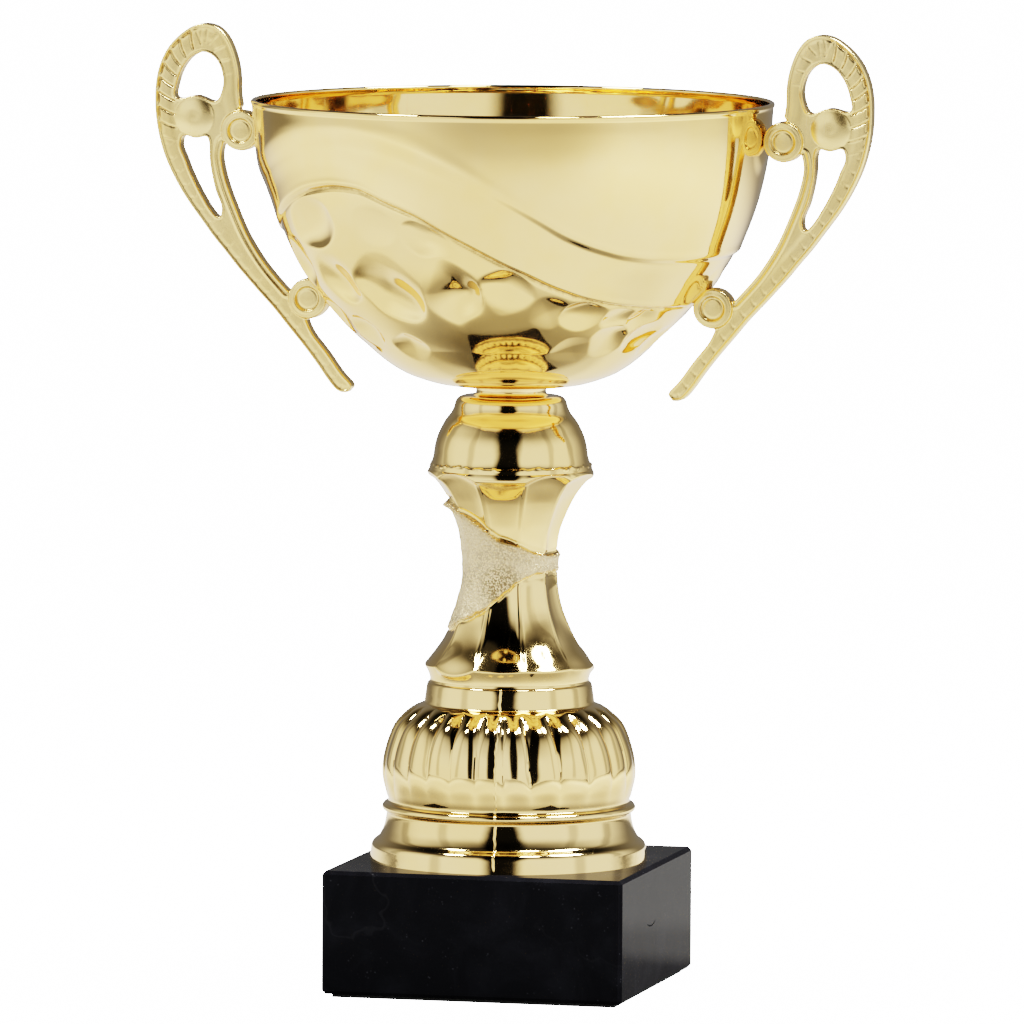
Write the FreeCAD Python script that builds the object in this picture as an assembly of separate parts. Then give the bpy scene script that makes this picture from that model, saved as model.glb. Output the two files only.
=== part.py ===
import FreeCAD, Part
import os, math

# Two-handled presentation cup on a square stone plinth.
#
# Frame: +Z up, origin at the middle of the felt pad's underside, X through the
# two handles, -Y is the plinth's front face.  All lengths in millimetres.
#
# Stack, bottom to top, all clamped by one M6 threaded rod:
#   felt pad / stone plinth / foot / column / column cap / bowl.
# The foot, column and cap are hollow mouldings, the bowl is pressed sheet, and
# each handle is screwed to the bowl from inside at two lugs.

V = FreeCAD.Vector
os.makedirs("parts", exist_ok=True)

# ------------------------------------------------------------ driving sizes
plinth_side = 82.9          # square plinth, side of the block
plinth_height = 33.34       # height of the stone block
plinth_chamfer = 1.0        # polished arris on every edge
felt_side = 77.9            # felt pad is inset from the plinth's edge
felt_thickness = 1.0
felt_hole_r = 15.0          # hole in the felt under the nut recess
recess_r = 14.0             # counterbore for the washer and the nut
recess_depth = 14.0
plinth_bore_r = 4.0         # clearance hole for the rod

rod_r = 2.98                # M6 threaded rod
rod_bottom = 5.0
rod_top = 173.2
nut_flats = 10.0            # M6 hexagon nut, across flats
nut_height = 5.0
nut_bore_r = 3.0
base_washer_r = 12.0        # penny washer in the plinth's recess
base_washer_t = 1.5
bowl_washer_r = 9.0         # plain washer in the bottom of the bowl
bowl_washer_t = 1.2
washer_bore_r = 3.2

moulding_wall = 2.0         # wall of the hollow foot, column and cap
rod_hole_r = 3.3            # rod hole in the moulded end plates and the bowl

bowl_wall = 0.8             # pressed sheet
bowl_seat_z = 162.9         # underside of the bowl's flat bottom
bowl_rim_z = 239.84
rim_bead_r = 0.75           # rolled rim

handle_t = 5.0              # thickness of the moulded handle's bars
lug_r = 5.5                 # round screw lugs
lug_t = 7.0
upper_lug = (75.2, 230.2)
lower_lug = (56.2, 185.1)
button_c = (88.2, 233.8)    # domed button in the middle of the handle
button_r = 5.4
button_t = 9.0
screw_r = 1.45              # self-tapping screw, 2.9 mm
screw_reach = 6.0           # thread length inside the lug
screw_head_r = 2.8
screw_head_h = 1.9
screw_hole_r = 1.7          # clearance hole in the bowl
screw_washer_r = 3.4
screw_washer_t = 0.5

z_plinth0 = felt_thickness
z_plinth1 = felt_thickness + plinth_height      # 34.34, seat of the foot
z_foot1 = 82.7                                  # joint, foot to column
z_column1 = 140.4                               # joint, column to cap

# ---------------------------------------------------------------- profiles
# Each profile is (radius, height) on the outside of a turned shape.
foot_outer = [(37.5, z_plinth1), (37.5, 38.5), (36.4, 39.5), (34.6, 41.6), (33.5, 44.4),
              (33.0, 47.2), (34.2, 47.9), (34.2, 49.5), (32.7, 50.4), (33.3, 52.9),
              (34.1, 55.7), (34.25, 59.0), (33.8, 62.7), (32.8, 66.4), (31.3, 69.8),
              (29.2, 72.7), (26.6, 75.3), (22.85, 77.0), (22.85, 79.4), (22.1, z_foot1)]

column_low = [(21.7, z_foot1), (21.2, 84.2), (21.35, 85.0), (22.4, 86.2), (23.0, 87.5)]
column_wall = [(23.0, 87.5), (21.75, 89.1), (19.5, 91.6), (18.0, 94.0), (16.9, 96.5),
               (15.8, 98.9), (14.7, 101.4), (13.9, 103.8), (13.4, 106.25), (13.1, 110.0),
               (12.9, 114.0), (12.8, 118.0), (13.2, 121.5), (14.0, 125.0), (15.0, 127.4),
               (16.1, 129.9), (17.3, 132.6), (18.5, 134.7), (20.1, 137.2), (22.1, 138.8)]
column_rim = [(22.1, 138.8), (22.1, z_column1)]

cap_dome = [(22.1, z_column1), (21.3, 142.5), (20.85, 144.7), (20.5, 146.9), (19.9, 149.2),
            (19.0, 151.3), (17.8, 153.4), (16.4, 155.1), (15.3, 156.8), (14.9, 158.6),
            (13.9, 159.8), (11.6, 160.2)]
cap_shoulder = [(11.6, 160.2), (9.66, 160.2)]
cap_boss = [(9.66, 160.2), (9.66, bowl_seat_z)]

bowl_outer = [(15.5, 162.9), (18.6, 163.35), (22.9, 164.55), (27.7, 166.2), (33.1, 169.4),
              (37.9, 174.0), (42.0, 178.0), (47.0, 182.5), (51.2, 186.4), (54.9, 190.3),
              (58.3, 195.0), (61.2, 200.0), (63.6, 205.2), (65.7, 210.6), (67.4, 216.5),
              (69.0, 223.0), (69.8, 230.0), (70.2, 236.0), (70.3, 238.4)]

# Handle outline in the X-Z plane, right-hand handle; every list is one smooth edge.
handle_outer = [(45.3, 159.9), (46.9, 159.9), (49.8, 162.1), (52.9, 166.3), (56.0, 170.4),
                (59.3, 174.4), (62.6, 178.3), (65.9, 182.2), (69.5, 186.0), (73.0, 189.8),
                (76.4, 193.6), (79.7, 197.6), (83.0, 201.5), (86.1, 205.6), (89.2, 209.7),
                (92.1, 214.0), (94.6, 218.5), (96.7, 223.2), (98.2, 228.2), (99.1, 233.2),
                (99.4, 238.4), (99.1, 243.5), (97.8, 248.5), (95.3, 253.0), (91.6, 256.6),
                (87.1, 258.9), (82.2, 258.3), (78.7, 254.6), (76.8, 249.8), (75.9, 244.8),
                (75.8, 240.4), (75.3, 237.0)]
handle_bar = [(80.2, 226.6), (80.75, 223.6), (80.4, 220.5), (79.4, 216.6), (78.0, 212.6),
              (76.2, 208.2), (74.0, 203.3), (71.3, 198.6), (68.0, 193.9), (64.8, 190.2),
              (62.0, 187.2)]
handle_tail = [(57.0, 180.0), (55.2, 176.1), (51.9, 171.9), (48.9, 167.9), (45.5, 163.7),
               (44.0, 161.6), (45.3, 159.9)]
loop_hole = [(85.6, 251.2), (88.1, 250.6), (90.1, 249.0), (91.6, 246.9), (92.7, 244.4),
             (93.4, 241.9), (93.5, 239.0), (90.8, 238.9), (88.2, 239.5), (85.6, 238.9),
             (82.2, 238.2), (80.8, 240.6), (80.3, 243.2), (80.6, 245.8), (81.5, 248.2),
             (83.3, 250.3)]
slit_hole = [(84.9, 228.3), (87.8, 227.9), (91.4, 228.4), (92.1, 226.1), (91.0, 223.0),
             (89.8, 219.9), (88.4, 216.9), (86.9, 214.0), (85.2, 211.1), (83.4, 208.4),
             (81.2, 206.7), (80.6, 208.9), (81.8, 212.5), (82.8, 215.7), (83.5, 218.9),
             (84.0, 222.2), (84.1, 225.5)]


# ----------------------------------------------------------------- helpers
def pt(rz):
    return V(rz[0], 0, rz[1])


def edge_of(points):
    """A straight edge for two points, a smooth curve for more."""
    vs = [pt(p) for p in points]
    if len(vs) == 2:
        return Part.makeLine(vs[0], vs[1])
    curve = Part.BSplineCurve()
    curve.interpolate(vs)
    return curve.toShape()


def solid_of(shape):
    shape = shape.removeSplitter()
    solids = shape.Solids
    assert len(solids) == 1, len(solids)
    s = solids[0]
    assert s.isValid() and s.Volume > 0
    return s


def turned(chains):
    """Revolve a closed chain of point lists about the Z axis."""
    wire = Part.Wire([edge_of(c) for c in chains])
    assert wire.isClosed()
    face = Part.Face(wire)
    body = face.revolve(V(0, 0, 0), V(0, 0, 1), 360)
    if body.ShapeType != "Solid":
        body = body.Solids[0]
    if body.Volume < 0:
        body.reverse()
    return body


def chain(points):
    """Straight runs between neighbouring points."""
    return [[points[i], points[i + 1]] for i in range(len(points) - 1)]


def inward(points, wall):
    """The same profile moved inwards by the wall thickness."""
    out = []
    for i, p in enumerate(points):
        a = points[max(i - 1, 0)]
        b = points[min(i + 1, len(points) - 1)]
        dx, dz = b[0] - a[0], b[1] - a[1]
        n = math.hypot(dx, dz)
        out.append((p[0] - dz / n * wall, p[1] + dx / n * wall))
    return out


def washer(r, bore, z0, t):
    return Part.makeCylinder(r, t, V(0, 0, z0)).cut(Part.makeCylinder(bore, t, V(0, 0, z0)))


def hexagon_nut(flats, height, bore, z0):
    rc = flats / math.sqrt(3.0)
    pts = [V(rc * math.cos(math.radians(60 * i)), rc * math.sin(math.radians(60 * i)), z0)
           for i in range(7)]
    nut = Part.Face(Part.makePolygon(pts)).extrude(V(0, 0, height))
    # corner chamfer, top and bottom
    cone = Part.makeCone(rc + 0.9, rc - 0.35, 1.25, V(0, 0, z0 + height - 1.25))
    body = Part.makeCylinder(rc + 0.9, height - 2.5, V(0, 0, z0 + 1.25)).fuse(cone)
    body = body.fuse(Part.makeCone(rc - 0.35, rc + 0.9, 1.25, V(0, 0, z0)))
    nut = nut.common(body)
    nut = nut.cut(Part.makeCylinder(bore, height, V(0, 0, z0)))
    return solid_of(nut)


parts = {}

# ------------------------------------------------------------------ plinth
felt = Part.makeBox(felt_side, felt_side, felt_thickness, V(-felt_side / 2, -felt_side / 2, 0))
parts["base_felt"] = solid_of(felt.cut(Part.makeCylinder(felt_hole_r, felt_thickness)))

block = Part.makeBox(plinth_side, plinth_side, plinth_height,
                     V(-plinth_side / 2, -plinth_side / 2, z_plinth0))
block = block.makeChamfer(plinth_chamfer, block.Edges)
block = block.cut(Part.makeCylinder(recess_r, recess_depth, V(0, 0, z_plinth0)))
block = block.cut(Part.makeCylinder(plinth_bore_r, plinth_height, V(0, 0, z_plinth0)))
parts["marble_base"] = solid_of(block)

z_recess = z_plinth0 + recess_depth
parts["base_washer"] = washer(base_washer_r, washer_bore_r, z_recess - base_washer_t, base_washer_t)
parts["base_nut"] = hexagon_nut(nut_flats, nut_height, nut_bore_r,
                                z_recess - base_washer_t - nut_height)

# ------------------------------------------------------------ threaded rod
rod = Part.makeCylinder(rod_r, rod_top - rod_bottom, V(0, 0, rod_bottom))
rod = rod.makeChamfer(0.6, [e for e in rod.Edges if e.Curve.TypeId == "Part::GeomCircle"])
parts["tie_rod"] = solid_of(rod)

# -------------------------------------------------------------------- foot
t = moulding_wall
foot_inner = [(35.3, z_plinth1), (35.3, 38.3), (32.3, 42.0), (31.0, 47.0), (31.0, 51.5),
              (32.1, 57.0), (31.5, 63.0), (29.8, 67.8), (26.5, 72.4), (20.9, 75.6),
              (20.6, z_foot1 - t)]
parts["foot"] = turned(chain(
    foot_outer + [(rod_hole_r, z_foot1), (rod_hole_r, z_foot1 - t)]
    + list(reversed(foot_inner)) + [foot_outer[0]]))

# ------------------------------------------------------------------ column
col_in = [(19.7, z_foot1), (19.4, 86.4), (19.7, 87.6), (18.0, 89.9), (15.8, 93.8), (13.8, 98.6),
          (12.1, 102.6), (11.2, 107.5), (10.9, 113.0), (10.85, 118.5), (11.5, 122.8),
          (12.6, 126.8), (14.3, 130.8), (16.4, 134.4), (18.2, 137.6), (19.9, 139.4)]
parts["column"] = turned([
    column_low, column_wall, column_rim,
    [(22.1, z_column1), (19.9, z_column1)],
    [(19.9, z_column1), (19.9, 139.4)],
    list(reversed(col_in)),
    [(19.7, z_foot1), (21.7, z_foot1)],
])

# -------------------------------------------------------------- column cap
cap_in = [(20.1, z_column1), (19.3, 142.6), (18.8, 144.9), (18.4, 147.0), (17.7, 149.2),
          (16.7, 151.2), (15.4, 153.2), (13.9, 155.2), (13.0, 156.6), (12.6, 158.0)]
parts["column_cap"] = turned([
    cap_dome, cap_shoulder, cap_boss,
    [(9.66, bowl_seat_z), (rod_hole_r, bowl_seat_z)],
    [(rod_hole_r, bowl_seat_z), (rod_hole_r, 158.0)],
    [(rod_hole_r, 158.0), (12.6, 158.0)],
    list(reversed(cap_in)),
    [(20.1, z_column1), (22.1, z_column1)],
])

# -------------------------------------------------------------------- bowl
bowl_inner = inward(bowl_outer, bowl_wall)
bowl_inner[0] = (15.5 - 0.35, 162.9 + bowl_wall)
bowl_inner[-1] = (70.3 - bowl_wall, 238.4)
rim_c = (70.3 - bowl_wall / 2, bowl_rim_z - rim_bead_r)
rim_tube = Part.makeTorus(rim_c[0], rim_bead_r, V(0, 0, rim_c[1]))
shell = turned([
    bowl_outer,
    [(70.3, 238.4), (70.3, bowl_rim_z - 0.4)],
    [(70.3, bowl_rim_z - 0.4), (70.3 - bowl_wall, bowl_rim_z - 0.4)],
    [(70.3 - bowl_wall, bowl_rim_z - 0.4), (70.3 - bowl_wall, 238.4)],
    list(reversed(bowl_inner)),
    [bowl_inner[0], (rod_hole_r, 162.9 + bowl_wall)],
    [(rod_hole_r, 162.9 + bowl_wall), (rod_hole_r, 162.9)],
    [(rod_hole_r, 162.9), (15.5, 162.9)],
])
bowl = shell.fuse(rim_tube)

# The bowl's filled outer volume, used to seat the lugs against its wall.
filled = turned([
    bowl_outer,
    [(70.3, 238.4), (70.3, 250.0)],
    [(70.3, 250.0), (0, 250.0)],
    [(0, 250.0), (0, 162.9)],
    [(0, 162.9), (15.5, 162.9)],
])

outer_edge = edge_of(bowl_outer)


def seat_of(lug):
    """Foot point on the bowl's outside nearest the lug, and the outward normal there."""
    d, pairs, info = outer_edge.distToShape(Part.Vertex(pt(lug)))
    foot_point = pairs[0][0]
    n = pt(lug).sub(foot_point)
    n.normalize()
    return foot_point, n


nut_z = bowl_seat_z + bowl_wall + bowl_washer_t
parts["bowl_washer"] = washer(bowl_washer_r, washer_bore_r, bowl_seat_z + bowl_wall, bowl_washer_t)
parts["bowl_nut"] = hexagon_nut(nut_flats, nut_height, nut_bore_r, nut_z)

# ------------------------------------------------------------------ handle
outline = Part.Wire([
    edge_of(handle_outer),
    edge_of([handle_outer[-1], (78.6, 230.5), handle_bar[0]]),
    edge_of(handle_bar),
    edge_of([handle_bar[-1], handle_tail[0]]),
    edge_of(handle_tail),
])


def hole_face(points):
    curve = Part.BSplineCurve()
    curve.interpolate([pt(p) for p in points], PeriodicFlag=True)
    return Part.Face(Part.Wire([curve.toShape()]))


def slab(face, thickness):
    f = face.copy()
    f.translate(V(0, -thickness / 2, 0))
    return f.extrude(V(0, thickness, 0))


def disc(c, r, thickness):
    return Part.makeCylinder(r, thickness, V(c[0], -thickness / 2, c[1]), V(0, 1, 0))


handle = slab(Part.Face(outline), handle_t)
handle = handle.cut(slab(hole_face(loop_hole), handle_t + 2))
handle = handle.cut(slab(hole_face(slit_hole), handle_t + 2))
# rounded screw lugs, thicker than the bars, with a sunk ring on both faces
for c in (upper_lug, lower_lug):
    lug = disc(c, lug_r, lug_t)
    lug = lug.makeFillet(0.8, [e for e in lug.Edges if e.Curve.TypeId == "Part::GeomCircle"])
    handle = handle.fuse(lug)
for c in (upper_lug, lower_lug):
    for side in (-1, 1):
        y0 = side * lug_t / 2
        pocket = Part.makeCylinder(3.2, 0.5, V(c[0], y0 if side < 0 else y0 - 0.5, c[1]), V(0, 1, 0))
        handle = handle.cut(pocket)
# domed button: two shallow spherical caps on a short disc
cap_h = (button_t - handle_t) / 2 + 0.8
ball_r = (button_r ** 2 + cap_h ** 2) / (2 * cap_h)
lens = disc(button_c, button_r, button_t)
for side in (-1, 1):
    cy = side * (button_t / 2 - ball_r)
    ball = Part.makeSphere(ball_r, V(button_c[0], cy, button_c[1]))
    half = Part.makeBox(40, 20, 40, V(button_c[0] - 20, 0 if side > 0 else -20, button_c[1] - 20))
    lens_half = ball.common(half).common(disc(button_c, button_r, 40))
    handle = handle.fuse(lens_half)
# the lugs are cut to the bowl's curvature, and drilled for the screws
handle = handle.cut(filled)
handle = Part.makeCompound(handle.Solids) if len(handle.Solids) > 1 else handle

seats = []
for lug in (upper_lug, lower_lug):
    foot_point, n = seat_of(lug)
    seats.append((foot_point, n))
    handle = handle.cut(Part.makeCylinder(screw_r + 0.02, screw_reach + 0.3, foot_point.sub(n * 0.3), n))
handle = solid_of(handle)
parts["handle_right"] = handle
parts["handle_left"] = handle.mirror(V(0, 0, 0), V(1, 0, 0))

# ------------------------------------------------- screws, washers, holes
screws, washers = [], []
for foot_point, n in seats:
    inner = foot_point.sub(n * bowl_wall)
    gap = 0.25                      # a flat washer stands off the concave wall
    w0 = inner.sub(n * (gap + screw_washer_t))
    ring = Part.makeCylinder(screw_washer_r, screw_washer_t, w0, n)
    ring = ring.cut(Part.makeCylinder(screw_r + 0.1, screw_washer_t, w0, n))
    shank = Part.makeCylinder(screw_r, screw_reach + bowl_wall + gap + screw_washer_t, w0, n)
    h0 = w0.sub(n * screw_head_h)
    head = Part.makeCylinder(screw_head_r, screw_head_h, h0, n)
    head = head.makeFillet(0.8, [e for e in head.Edges if e.Curve.TypeId == "Part::GeomCircle"
                                 and e.Curve.Center.sub(h0).Length < 0.01])
    # cross recess
    for turn in (0, 90):
        slot = Part.makeBox(2.6, 0.6, 1.0, V(-1.3, -0.3, 0))
        slot.rotate(V(0, 0, 0), V(0, 0, 1), turn)
        pl = FreeCAD.Placement(h0, FreeCAD.Rotation(V(0, 0, 1), n))
        slot = slot.transformGeometry(pl.toMatrix())
        head = head.cut(slot)
    screw = solid_of(head.fuse(shank))
    drill = Part.makeCylinder(screw_hole_r, 6.0, foot_point.sub(n * 3.0), n)
    for s in (1, -1):
        if s == 1:
            screws.append(screw.copy())
            washers.append(ring.copy())
            bowl = bowl.cut(drill)
        else:
            screws.append(screw.mirror(V(0, 0, 0), V(1, 0, 0)))
            washers.append(ring.mirror(V(0, 0, 0), V(1, 0, 0)))
            bowl = bowl.cut(drill.mirror(V(0, 0, 0), V(1, 0, 0)))
parts["bowl"] = solid_of(bowl)
parts["handle_screws"] = Part.makeCompound(screws)
parts["screw_washers"] = Part.makeCompound(washers)

# ------------------------------------------------------------------- write
for name, shape in parts.items():
    for s in shape.Solids:
        assert s.isValid(), name
        assert s.Volume > 0, name
    shape.exportStep("parts/%s.step" % name)
    bb = shape.BoundBox
    print("%-14s %d solid(s) %10.1f mm3  x %.2f %.2f  y %.2f %.2f  z %.2f %.2f" % (
        name, len(shape.Solids), shape.Volume, bb.XMin, bb.XMax, bb.YMin, bb.YMax, bb.ZMin, bb.ZMax))
for foot_point, n in seats:
    print("seat", [round(c, 3) for c in foot_point], "normal", [round(c, 3) for c in n])
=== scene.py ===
import math
import bpy
import numpy as np
from mathutils import Vector, Matrix


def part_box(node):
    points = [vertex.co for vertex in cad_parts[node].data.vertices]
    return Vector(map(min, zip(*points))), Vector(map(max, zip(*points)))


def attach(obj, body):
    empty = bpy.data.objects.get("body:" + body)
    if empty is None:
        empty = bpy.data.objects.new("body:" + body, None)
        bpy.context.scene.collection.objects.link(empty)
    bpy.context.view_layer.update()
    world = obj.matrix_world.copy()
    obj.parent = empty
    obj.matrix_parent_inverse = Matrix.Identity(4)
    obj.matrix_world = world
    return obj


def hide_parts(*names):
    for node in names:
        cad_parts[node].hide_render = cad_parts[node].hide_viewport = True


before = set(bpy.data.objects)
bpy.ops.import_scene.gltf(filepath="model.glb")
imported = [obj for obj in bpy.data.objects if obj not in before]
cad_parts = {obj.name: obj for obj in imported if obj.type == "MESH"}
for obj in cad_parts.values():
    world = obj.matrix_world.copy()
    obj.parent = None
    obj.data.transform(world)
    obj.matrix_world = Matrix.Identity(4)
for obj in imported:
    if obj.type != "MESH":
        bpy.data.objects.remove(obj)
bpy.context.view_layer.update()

MM = 0.001
CAM_AZ = 13.94            # camera azimuth in the object's frame, degrees
rng = np.random.default_rng(11)


# ---------------------------------------------------------------- small maths
def smooth(x, a, b):
    t = np.clip((x - a) / (b - a), 0.0, 1.0)
    return t * t * (3 - 2 * t)


def gauss(x, w):
    return np.exp(-(x / w) ** 2)


def spline(points, step=0.25, closed=False):
    """Cubic through the points, resampled at about the given step."""
    p = np.array(points, float)
    if closed:
        p = np.vstack([p, p[:1]])
    t = np.concatenate([[0], np.cumsum(np.hypot(*np.diff(p, axis=0).T))])
    n = len(t)
    h = np.diff(t)
    m = max(2, int(round(t[-1] / step)) + 1)
    tt = np.linspace(0, t[-1], m)
    if n == 2:
        return np.stack([np.interp(tt, t, p[:, 0]), np.interp(tt, t, p[:, 1])], 1)
    A = np.zeros((n, n))
    B = np.zeros((n, 2))
    for i in range(1, n - 1):
        A[i, i - 1], A[i, i], A[i, i + 1] = h[i - 1], 2 * (h[i - 1] + h[i]), h[i]
        B[i] = 6 * ((p[i + 1] - p[i]) / h[i] - (p[i] - p[i - 1]) / h[i - 1])
    if closed:
        A[0, 0], A[0, -1] = 1, -1
        A[-1, 0], A[-1, 1], A[-1, -2] = 2 * (h[-1] + h[0]), h[0], h[-1]
        B[-1] = 6 * ((p[1] - p[0]) / h[0] - (p[-1] - p[-2]) / h[-1])
    else:
        A[0, 0] = A[-1, -1] = 1
    M = np.linalg.solve(A, B)
    k = np.clip(np.searchsorted(t, tt, side="right") - 1, 0, n - 2)
    a = (t[k + 1] - tt)[:, None]
    b = (tt - t[k])[:, None]
    hk = h[k][:, None]
    out = (M[k] * a ** 3 + M[k + 1] * b ** 3) / (6 * hk)
    out += (p[k] / hk - M[k] * hk / 6) * a + (p[k + 1] / hk - M[k + 1] * hk / 6) * b
    return out[:-1] if closed else out


def blur(line, sigma, step):
    """Gaussian along a polyline of even step, ends held in place."""
    w = int(math.ceil(3 * sigma / step))
    k = np.exp(-0.5 * (np.arange(-w, w + 1) * step / sigma) ** 2)
    k /= k.sum()
    first, last = line[0], line[-1]
    pre = 2 * first - line[1:w + 1][::-1]
    post = 2 * last - line[-w - 1:-1][::-1]
    q = np.vstack([pre, line, post])
    return np.stack([np.convolve(q[:, c], k, "valid") for c in range(q.shape[1])], 1)


def ring_curve(table, deg, sigma=2.5):
    """Value against angle all the way round, smoothed by sigma degrees."""
    a = np.array([t[0] for t in table], float)
    v = np.array([t[1] for t in table], float)
    g = np.arange(0, 360, 0.5)
    y = np.interp(g, *_wrapped(a, v))
    k = np.exp(-0.5 * (np.arange(-40, 41) * 0.5 / sigma) ** 2)
    k /= k.sum()
    y = np.convolve(np.concatenate([y[-40:], y, y[:40]]), k, "valid")
    return np.interp(np.mod(deg, 360), np.append(g, 360), np.append(y, y[0]))


def _wrapped(a, v):
    a = np.mod(a, 360)
    o = np.argsort(a)
    a, v = a[o], v[o]
    return np.concatenate([a[-1:] - 360, a, a[:1] + 360]), np.concatenate([v[-1:], v, v[:1]])


_lattice = np.random.default_rng(5).random((32, 32, 32)) * 2 - 1


def noise(x, y, z, scale):
    """Smooth value noise of about -1..1; scale is the size of one cell."""
    out = 0
    p = [np.asarray(c) / scale for c in (x, y, z)]
    i = [np.floor(c).astype(int) for c in p]
    f = [c - k for c, k in zip(p, i)]
    f = [c * c * (3 - 2 * c) for c in f]
    for a in (0, 1):
        for b in (0, 1):
            for c in (0, 1):
                w = (f[0] if a else 1 - f[0]) * (f[1] if b else 1 - f[1]) * (f[2] if c else 1 - f[2])
                out = out + w * _lattice[(i[0] + a) % 32, (i[1] + b) % 32, (i[2] + c) % 32]
    return out


# ------------------------------------------------------------- mesh making
def mesh_object(name, verts, faces, mats, face_mat=None, attrs=None, sharp=None):
    """verts in mm, faces as an (n,4) array (a triangle repeats its last corner)."""
    verts = np.asarray(verts, np.float32) * MM
    faces = np.asarray(faces, np.int64)
    me = bpy.data.meshes.new(name)
    me.vertices.add(len(verts))
    me.vertices.foreach_set("co", verts.ravel())
    tri = faces[:, 2] == faces[:, 3]
    lens = np.where(tri, 3, 4)
    starts = np.concatenate([[0], np.cumsum(lens)[:-1]])
    keep = np.ones(faces.shape, bool)
    keep[tri, 3] = False
    me.loops.add(int(lens.sum()))
    me.loops.foreach_set("vertex_index", faces[keep].astype(np.int32))
    me.polygons.add(len(faces))
    me.polygons.foreach_set("loop_start", starts.astype(np.int32))
    me.polygons.foreach_set("use_smooth", np.ones(len(faces), bool))
    for m in mats:
        me.materials.append(m)
    if face_mat is not None:
        me.polygons.foreach_set("material_index", np.asarray(face_mat, np.int32))
    me.update(calc_edges=True)
    me.validate()
    for key, val in (attrs or {}).items():
        at = me.attributes.new(key, "FLOAT", "POINT")
        at.data.foreach_set("value", np.asarray(val, np.float32))
    if sharp is not None:
        me.set_sharp_from_angle(angle=math.radians(sharp))
    ob = bpy.data.objects.new(name, me)
    bpy.context.scene.collection.objects.link(ob)
    return ob


def lathe_grid(R, Z, psi):
    """Closed ring-shaped grid: R and Z are (rows, cols), psi are the columns' angles."""
    rows, cols = R.shape
    X = R * np.sin(psi)[None, :]
    Y = -R * np.cos(psi)[None, :]
    V = np.stack([X, Y, Z], -1).reshape(-1, 3)
    i = np.arange(rows)[:, None]
    j = np.arange(cols)[None, :]
    a = i * cols + j
    b = i * cols + (j + 1) % cols
    c = ((i + 1) % rows) * cols + (j + 1) % cols
    d = ((i + 1) % rows) * cols + j
    F = np.stack([a, b, c, d], -1).reshape(-1, 4)
    return V, F


def profile_normals(line):
    """Unit normals to the right of travel; outward for a profile that runs upwards."""
    d = np.gradient(line, axis=0)
    d /= np.hypot(d[:, 0], d[:, 1])[:, None]
    return np.stack([d[:, 1], -d[:, 0]], 1)


def arc_length(line):
    return np.concatenate([[0], np.cumsum(np.hypot(*np.diff(line, axis=0).T))])


def resample(line, s_new):
    s = arc_length(line)
    return np.stack([np.interp(s_new, s, line[:, c]) for c in range(2)], 1)


def joined(segments, step=0.1):
    out = []
    for sgm in segments:
        q = spline(sgm, step)
        out.append(q if not out else q[1:])
    return np.vstack(out)


def columns(n, dense=()):
    """Even columns with extra ones packed round the given angles (radians)."""
    a = np.linspace(0, 2 * math.pi, n, endpoint=False)
    for centre, half, m in dense:
        a = a[np.abs((a - centre + math.pi) % (2 * math.pi) - math.pi) > half]
        a = np.concatenate([a, centre + np.linspace(-half, half, m)])
    return np.sort(np.mod(a, 2 * math.pi))


# ------------------------------------------------------------ material nodes
class Tree:
    def __init__(self, nt):
        self.nt = nt
        self.nt.nodes.clear()

    def node(self, kind, **kw):
        n = self.nt.nodes.new(kind)
        for k, v in kw.items():
            setattr(n, k, v)
        return n

    def put(self, sock, val):
        if isinstance(val, bpy.types.NodeSocket):
            self.nt.links.new(val, sock)
        else:
            sock.default_value = val

    def math(self, op, a, b=0.0, c=0.0, clamp=False):
        n = self.node("ShaderNodeMath", operation=op, use_clamp=clamp)
        self.put(n.inputs[0], a)
        self.put(n.inputs[1], b)
        self.put(n.inputs[2], c)
        return n.outputs[0]

    def remap(self, v, a, b, c, d, smoothly=False):
        n = self.node("ShaderNodeMapRange", interpolation_type="SMOOTHSTEP" if smoothly else "LINEAR")
        for s, x in zip(range(5), (v, a, b, c, d)):
            self.put(n.inputs[s], x)
        return n.outputs[0]

    def mix(self, f, a, b):
        n = self.node("ShaderNodeMix", data_type="RGBA")
        self.put(n.inputs[0], f)
        self.put(n.inputs[6], a)
        self.put(n.inputs[7], b)
        return n.outputs[2]

    def mixf(self, f, a, b):
        n = self.node("ShaderNodeMix", data_type="FLOAT")
        self.put(n.inputs[0], f)
        self.put(n.inputs[2], a)
        self.put(n.inputs[3], b)
        return n.outputs[0]

    def noise(self, scale, detail=3.0, rough=0.5, vec=None, distortion=0.0):
        n = self.node("ShaderNodeTexNoise")
        n.inputs["Scale"].default_value = scale
        n.inputs["Detail"].default_value = detail
        n.inputs["Roughness"].default_value = rough
        n.inputs["Distortion"].default_value = distortion
        if vec is not None:
            self.put(n.inputs["Vector"], vec)
        return n.outputs["Fac"]

    def bump(self, height, strength, distance, normal=None):
        n = self.node("ShaderNodeBump")
        self.put(n.inputs["Height"], height)
        self.put(n.inputs["Strength"], strength)
        n.inputs["Distance"].default_value = distance
        if normal is not None:
            self.put(n.inputs["Normal"], normal)
        return n.outputs[0]


def new_material(name):
    m = bpy.data.materials.new(name)
    m.use_nodes = True
    t = Tree(m.node_tree)
    out = t.node("ShaderNodeOutputMaterial")
    p = t.node("ShaderNodeBsdfPrincipled")
    m.node_tree.links.new(p.outputs[0], out.inputs[0])
    pos = t.node("ShaderNodeTexCoord").outputs["Object"]
    return m, t, p, pos


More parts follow.
